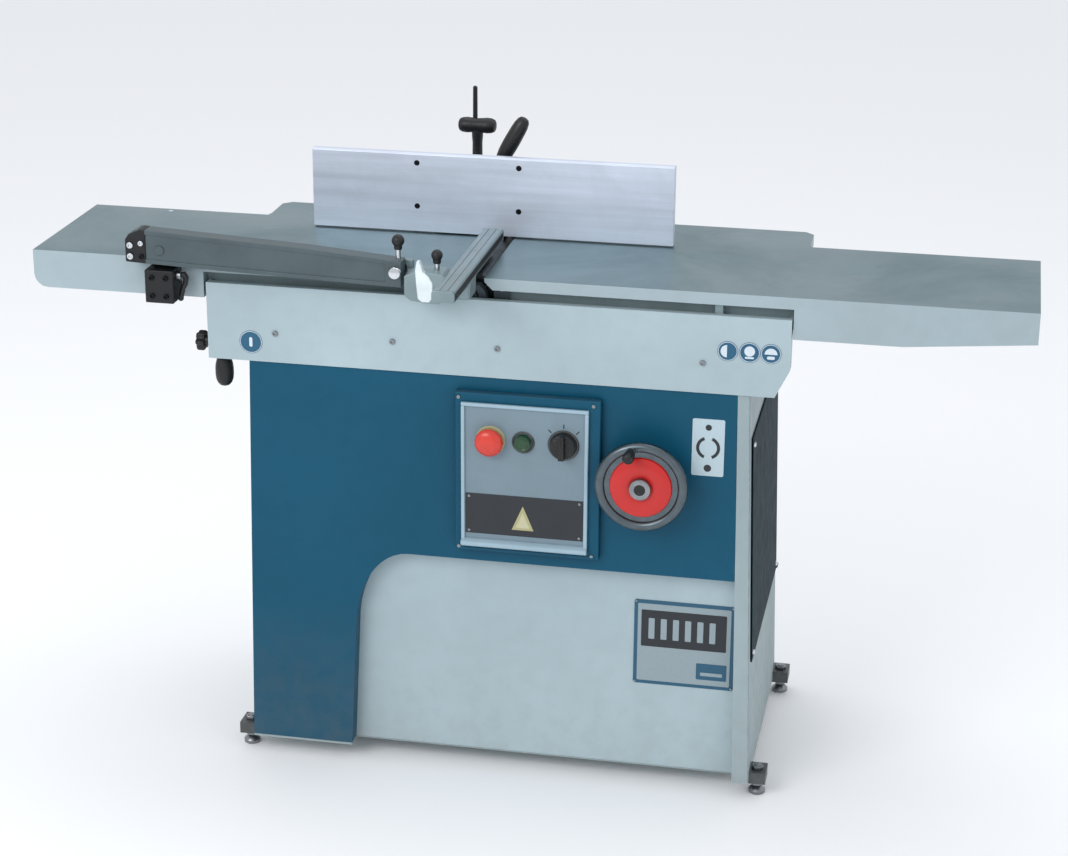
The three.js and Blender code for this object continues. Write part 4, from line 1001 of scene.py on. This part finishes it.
def fence_plate():
    edge = 2.2
    outline = [
        (FENCE_FRONT, FENCE_LOW), (FENCE_BACK, FENCE_LOW), (FENCE_BACK, FENCE_HIGH - edge),
        (FENCE_BACK - edge, FENCE_HIGH), (FENCE_FRONT + edge, FENCE_HIGH),
        (FENCE_FRONT, FENCE_HIGH - edge)]
    fence = Shape().prism("x", outline, FENCE_LEFT, FENCE_RIGHT)
    fence.make("fence_face", FENCE, "fence", 0.9, node="fence_plate")


def fence_screws():
    cup = [(0, 0.3), (4.6, 0.3), (4.6, -0.5), (4.0, -0.7), (2.4, -0.7), (2.4, -0.2), (0, -0.2)]
    places = [(x, z) for z in (988.5, 915.5) for _, x in BRACKETS]
    for i, (x, z) in enumerate(places):
        Shape().turn("y", (x, FENCE_FRONT, z), cup, 28).make(f"fence_screw_{i + 1}", OXIDE, "fence")


def clamp_handle():
    """A turned column with a round cross grip."""
    half = [(0, 0), (7, 0.6), (10.4, 2.6), (12.8, 8), (13.5, 16), (12.6, 25), (12, 33)]
    whole = half + [(12.6, 41), (13.5, 50), (12.8, 58), (10.4, 63.4), (7, 65.4), (0, 66)]
    clamp = Shape().rod("z", (CLAMP_X, CLAMP_Y, 0), 6, 888.4, 920, 32, 1)
    clamp.turn("z", (CLAMP_X, CLAMP_Y, 0), [
        (0, 917), (9, 917), (10, 918.4), (10, 927), (9, 929), (8.6, 975), (9.6, 986), (10, 1000),
        (0, 1001)], 36)
    clamp.turn("x", (CLAMP_X - 33, CLAMP_Y, 1005), whole, 44)
    clamp.make("clamp_grip", [BLACK, STEEL], "slide_clamp", node="clamp_handle")


def tilt_lever():
    """A bent stem on a boss, with a plump grip."""
    pivot, bend, top = Vector((-117, 290, 930)), Vector((-126, 291, 985)), Vector((-86, 293, 1058))
    aim = (top - bend).normalized()
    grip = Shape()
    grip.turn("y", (0, 0, 0), [
        (0, -3.6), (5.6, -3.4), (8, -2.4), (9.6, 1), (11.2, 6), (12.8, 16), (13.4, 28), (13.5, 42),
        (13, 60), (12.2, 70), (10.4, 78), (7.4, 82.4), (4, 83.8), (0, 84)], 44)
    lean = Vector((0, 1, 0)).rotation_difference(aim).to_matrix().to_4x4()
    grip.make("tilt_grip", BLACK, "tilt_clamp", node="tilt_lever", move=Matrix.Translation(bend) @ lean)
    stem = Shape().sweep([pivot, pivot + (bend - pivot) * 0.5, bend + aim * 3], [5, 4.4, 4.6], 24)
    stem.make("tilt_stem", STEEL, "tilt_clamp")
    boss = Shape().rod("x", (0, pivot.y, pivot.z), 10, -125, -100.4, 36, 0, 1.4)
    boss.make("tilt_boss", STEEL, "tilt_clamp")


fence_plate()
fence_screws()
carry("fence_bracket_left", DARK_CAST, 1.6)
carry("fence_bracket_right", DARK_CAST, 1.6)
carry("fence_carriage", DARK_CAST, 1.2, split=True)
carry("fence_slide_bar", BAR_STEEL, 1.2)
carry("rear_guard", DARK_CAST, 0.8)
carry("fence_support", [DARK_CAST, BLACK_PAINT], 2.0, pick=lambda centre, normal: int(centre.z > POST_LOW))
screws("support_bolt", "y", [(-246, 480, 760), (-158, 480, 760)], 8, "frame", 1, STEEL, "hex", 6)
for side, x in BRACKETS:
    places = [(x, 270, 915.5), (x, 266, 975)]
    screws(f"bracket_bolt_{side}", "y", places, 5, "fence", 1, STEEL, "socket", 5)
clamp_handle()
tilt_lever()


# ---------- guard

ARM_PIVOT = (-608, 893)  # x and z of the arm's hinge on the outfeed table
HEAD_PIVOT = (-224, 882)  # x and z of the head's hinge on the arm
ARM_LEFT, ARM_KNEE, ARM_RIGHT = -646, -365, -226
ARM_FRONT, ARM_BACK = -40, -12
CAP_FRONT, CAP_BACK = -40.6, -11.6
BEAM_LEFT, BEAM_RIGHT, BEAM_LOW, BEAM_HIGH = -132, -96, 884, 902
BEAM_FRONT, BEAM_REAR = -185, 175


def guard_mount():
    x, z = ARM_PIVOT
    mount = Shape().box(x - 24, x + 23, -46, -0.4, 808, 862)
    mount.box(x - 24, x + 23, -11.4, -0.4, 858, 908)
    mount.make("mount_block", BLACK_PAINT, "outfeed", 2.0, 3, node="guard_mount")
    pin = Shape().rod("y", (x, 0, z), 8, -40.6, -8, 36, 0, 0.8)
    pin.make("mount_pin", ARM_PAINT, "outfeed")
    places = [(x + across, -46, height) for height in (820, 850) for across in (-12, 11)]
    screws("mount_screw", "y", places, 4.2, "outfeed", -1, OXIDE, "socket", 3.6)


def guard_arm():
    """A tapering bar with a flange along its lower and upper edge."""
    under = [(ARM_LEFT, 871.3), (-560, 868), (ARM_KNEE, 862), (ARM_RIGHT, 858.3)]
    over = [(ARM_RIGHT, 900.4), (ARM_KNEE, 911), (ARM_LEFT, 925.6)]
    arm = Shape().prism("y", under + over, -38.4, -13.6)
    for y0, y1 in ((ARM_FRONT, -38.2), (-13.8, ARM_BACK)):
        arm.prism("y", under + [(ARM_RIGHT, 865), (ARM_KNEE, 868.8), (-560, 875), (ARM_LEFT, 878.4)], y0, y1)
        arm.prism("y", [(ARM_LEFT, 918.6), (ARM_KNEE, 904), (ARM_RIGHT, 893.6)] + over, y0, y1)
    arm.make("arm_bar", ARM_PAINT, "arm", 1.6, 3, node="guard_arm")
    end = [(-664, 872), (-630, 870.4), (-630, 925.4), (-640, 926), (-658, 917), (-664, 908)]
    cap = Shape().prism("y", end, CAP_FRONT, CAP_BACK)
    cap.make("arm_end", BLACK_PAINT, "arm", 2.0, 3)
    tip = Shape().prism("y", [(-240, 858.6), (-214, 858), (-214, 900), (-240, 901.4)], CAP_FRONT, CAP_BACK)
    tip.make("arm_tip", ARM_PAINT, "arm", 2.0, 3)
    for i, (x, z, radius) in enumerate([(-655, 900, 5.2), (-655, 882, 5.2), (-637, 904, 4.4)]):
        screw(f"arm_bolt_{i + 1}", "y", (x, CAP_FRONT, z), radius, "arm", -1, CHROME, "socket", 3.6)
    screw("arm_dark_bolt", "y", (-637, CAP_FRONT, 882), 4.2, "arm", -1, OXIDE, "socket", 2.6)


def guard_head():
    """The casting at the arm's end, with a bright leaf-shaped lever and the jaw for the beam."""
    x, z = HEAD_PIVOT
    leaf = [(-186.5, 868), (-184, 847), (-178, 842), (-166, 842), (-160, 850), (-160, 874), (-166, 884),
            (-175, 890), (-178.5, 902), (-181.5, 907.6), (-185.5, 907.6), (-188, 894)]
    head = Shape()
    head.prism("y", [
        (-206, 850), (-196, 843), (-172, 840), (-152, 840), (-138, 848), (-102, 850), (-100.6, 883.4),
        (-140, 883.4), (-146, 888), (-160, 889), (-190, 889), (-206, 882)], -56, -12.4)
    head.prism("y", leaf, -57.8, -46, 1)
    head.prism("y", circle(x, z, 14, 32), -11.2, -2.4)
    head.box(x, -202, -11.2, -2.4, z - 14, z + 14)
    head.box(-210, -200, -20, -2.4, z - 14, z)
    head.make("head_casting", [HEAD_CAST, BRIGHT_CAST], "head", 2.2, 3, node="guard_head")
    pivot = Shape()
    pivot.turn("y", (x, 0, z), [
        (0, -47), (5, -47), (9, -45.8), (10.4, -43.4), (10.4, -41), (6, -40.8), (6, -8), (0, -8)], 40)
    pivot.make("head_pivot", CHROME, "head")
    jaw = Shape().prism("x", [
        (-57.6, 852), (-12.4, 852), (-12.4, 883.4), (-18, 883.4), (-24, 878), (-46, 878), (-52, 883.4),
        (-57.6, 883.4)], -136, -103)
    jaw.make("head_jaw", HEAD_CAST, "head", 1.6, 3)
    screw("head_bolt", "y", (-152, -56, 860), 5, "head", -1, STEEL, "socket", 4)


def ball_knob(name, node, body, place, radius, foot_z):
    """A black ball on a collar and a bright stem that reaches down to foot_z."""
    x, y, z = place
    low = z - radius
    knob = Shape().ball(place, radius, 40)
    knob.turn("z", (x, y, 0), [
        (0, low - 4), (5.6, low - 4), (6.4, low - 2), (6.4, low + 2.4), (0, low + 2.4)], 32)
    knob.rod("z", (x, y, 0), 4, foot_z, low - 2, 24, 1)
    knob.make(name, [BLACK, CHROME], body, node=node)


def beam_profile():
    """The bridge beam's section: round upper edges, two fine grooves on top, a slot underneath."""
    left, right, low, high = BEAM_LEFT, BEAM_RIGHT, BEAM_LOW, BEAM_HIGH
    points = circle(left + 5, low + 4.5, 4.4, 6, pi, pi / 2)
    points += [(-121, low), (-121, low + 3), (-108, low + 3), (-108, low)]
    points += circle(right - 1.5, low + 1.5, 1.5, 3, 1.5 * pi, pi / 2)
    points += [(right, low + 2.6), (right - 4, low + 2.6), (right - 4, high - 4), (right, high - 4)]
    points += circle(right - 3, high - 3, 3, 5, 0, pi / 2)
    for x in (-107, -119):
        points += [(x + 1, high), (x + 1, high - 0.8), (x - 1, high - 0.8), (x - 1, high)]
    points += circle(left + 8, high - 8, 8, 8, pi / 2, pi / 2)
    return points


def guard_beam():
    cap = 3
    beam = Shape().prism("y", beam_profile(), BEAM_FRONT + cap, BEAM_REAR - cap)
    beam.make("beam_bar", BEAM, "beam", node="guard_beam", angle=25)
    for name, y0, y1 in (("beam_cap_front", BEAM_FRONT, BEAM_FRONT + cap + 0.2),
                         ("beam_cap_rear", BEAM_REAR - cap - 0.2, BEAM_REAR)):
        outline = rounded(BEAM_LEFT + 0.2, BEAM_RIGHT - 0.2, BEAM_LOW + 0.2, BEAM_HIGH - 0.2, 5)
        Shape().prism("y", outline, y0, y1).make(name, HEAD_CAST, "beam", 1.0)
    # Painted shade: a dark rubber strip in the groove along the beam's right side, standing in for the dark
    # gap between the beam and the infeed table.
    strip = Shape().box(-101, -97.2, BEAM_FRONT + cap + 0.1, BEAM_REAR - cap - 0.1, 886.9, 897.7)
    strip.make("beam_side_shade_strip", RUBBER, "beam", 0.4)


def guard_lever():
    """A small bent lever at the mount's right side."""
    x, y = ARM_PIVOT[0] + 23.3, -26
    route = [(7, 851), (12, 853), (15, 847), (13.5, 838), (9, 829), (6.6, 820), (5, 813)]
    lever = Shape().rod("x", (0, y, 850), 8, x, x + 8, 32, 1, 0.8)
    lever.sweep([(x + dx, y, z) for dx, z in route], [4, 4.6, 4.6, 4.2, 4.0, 4.2, 4.4], 18)
    lever.ball((x + 5, y, 812.6), 4.6, 20)
    lever.make("side_lever", [BLACK, STEEL], "mount_lever", node="guard_lever")


guard_mount()
guard_arm()
guard_head()
ball_knob("knob_left", "guard_knob_1", "knob_1", (-222, -26, 930), 10, 895)
ball_knob("knob_right", "guard_knob_2", "knob_2", (-158, -35, 913), 9, 872)
guard_beam()
guard_lever()


# ---------- stage, light and camera

FLOOR_REACH = 30000
LENS = 81.0843  # millimetres, on a sensor 36 mm wide
CAMERA_PLACE = (673.38, -3517.64, 1950.39)  # millimetres of the machine
YAW, PITCH, ROLL = 0.1919, -0.35368, 0.007656  # radians


def studio_floor():
    """A plain pale floor that reaches the horizon."""
    floor = Shape().box(-FLOOR_REACH, FLOOR_REACH, -FLOOR_REACH, FLOOR_REACH, -40, 0)
    bmesh.ops.recalc_face_normals(floor.bm, faces=floor.bm.faces)
    for vert in floor.bm.verts:
        vert.co = at(*vert.co)
    mesh = bpy.data.meshes.new("studio_floor")
    floor.bm.to_mesh(mesh)
    floor.bm.free()
    material = bpy.data.materials.new("studio_floor")
    material.use_nodes = True
    shader = material.node_tree.nodes["Principled BSDF"]
    shader.inputs["Base Color"].default_value = (0.97, 0.975, 0.98, 1)
    shader.inputs["Roughness"].default_value = 0.9
    shader.inputs["Specular IOR Level"].default_value = 0.1
    mesh.materials.append(material)
    add_object("studio_floor", mesh)


def studio_world():
    world = bpy.context.scene.world or bpy.data.worlds.new("studio")
    bpy.context.scene.world = world
    world.use_nodes = True
    tree = world.node_tree
    background = tree.nodes.get("Background") or tree.nodes.new("ShaderNodeBackground")
    background.inputs[0].default_value = (0.94, 0.96, 1.0, 1)
    background.inputs[1].default_value = 0.86


def area(name, place, target, size, power):
    """A soft rectangular light at a place in metres, facing a target."""
    light = bpy.data.lights.new(name, "AREA")
    light.shape = "RECTANGLE"
    light.size, light.size_y = size
    light.energy = power
    obj = add_object(name, light)
    obj.location = place
    obj.rotation_euler = (Vector(target) - Vector(place)).to_track_quat("-Z", "Y").to_euler()


def photo_camera():
    """The camera in front, a little to the right of the middle and above the tables."""
    camera = bpy.data.cameras.new("camera")
    camera.sensor_width = 36
    camera.lens = LENS
    camera.clip_start, camera.clip_end = 0.05, 90
    forward = Vector((-sin(YAW) * cos(PITCH), cos(YAW) * cos(PITCH), sin(PITCH)))
    level = Vector((cos(YAW), sin(YAW), 0))
    upright = level.cross(forward)
    right = cos(ROLL) * level + sin(ROLL) * upright
    up = cos(ROLL) * upright - sin(ROLL) * level
    turn = Matrix((right, up, -forward)).transposed().to_4x4()
    obj = add_object("camera", camera)
    obj.matrix_world = Matrix.Translation(at(*CAMERA_PLACE)) @ turn
    bpy.context.scene.camera = obj


studio_floor()
studio_world()
area("key", (-1.8, -3.4, 3.0), (0, 0, 0.5), (2.4, 1.8), 64)
area("fill", (2.8, -2.6, 1.8), (0, 0, 0.5), (2.0, 2.0), 5)
area("top", (0.2, 0.6, 3.4), (0, 0, 0.6), (3.0, 1.6), 20)
photo_camera()
bpy.context.scene.view_settings.view_transform = "Standard"
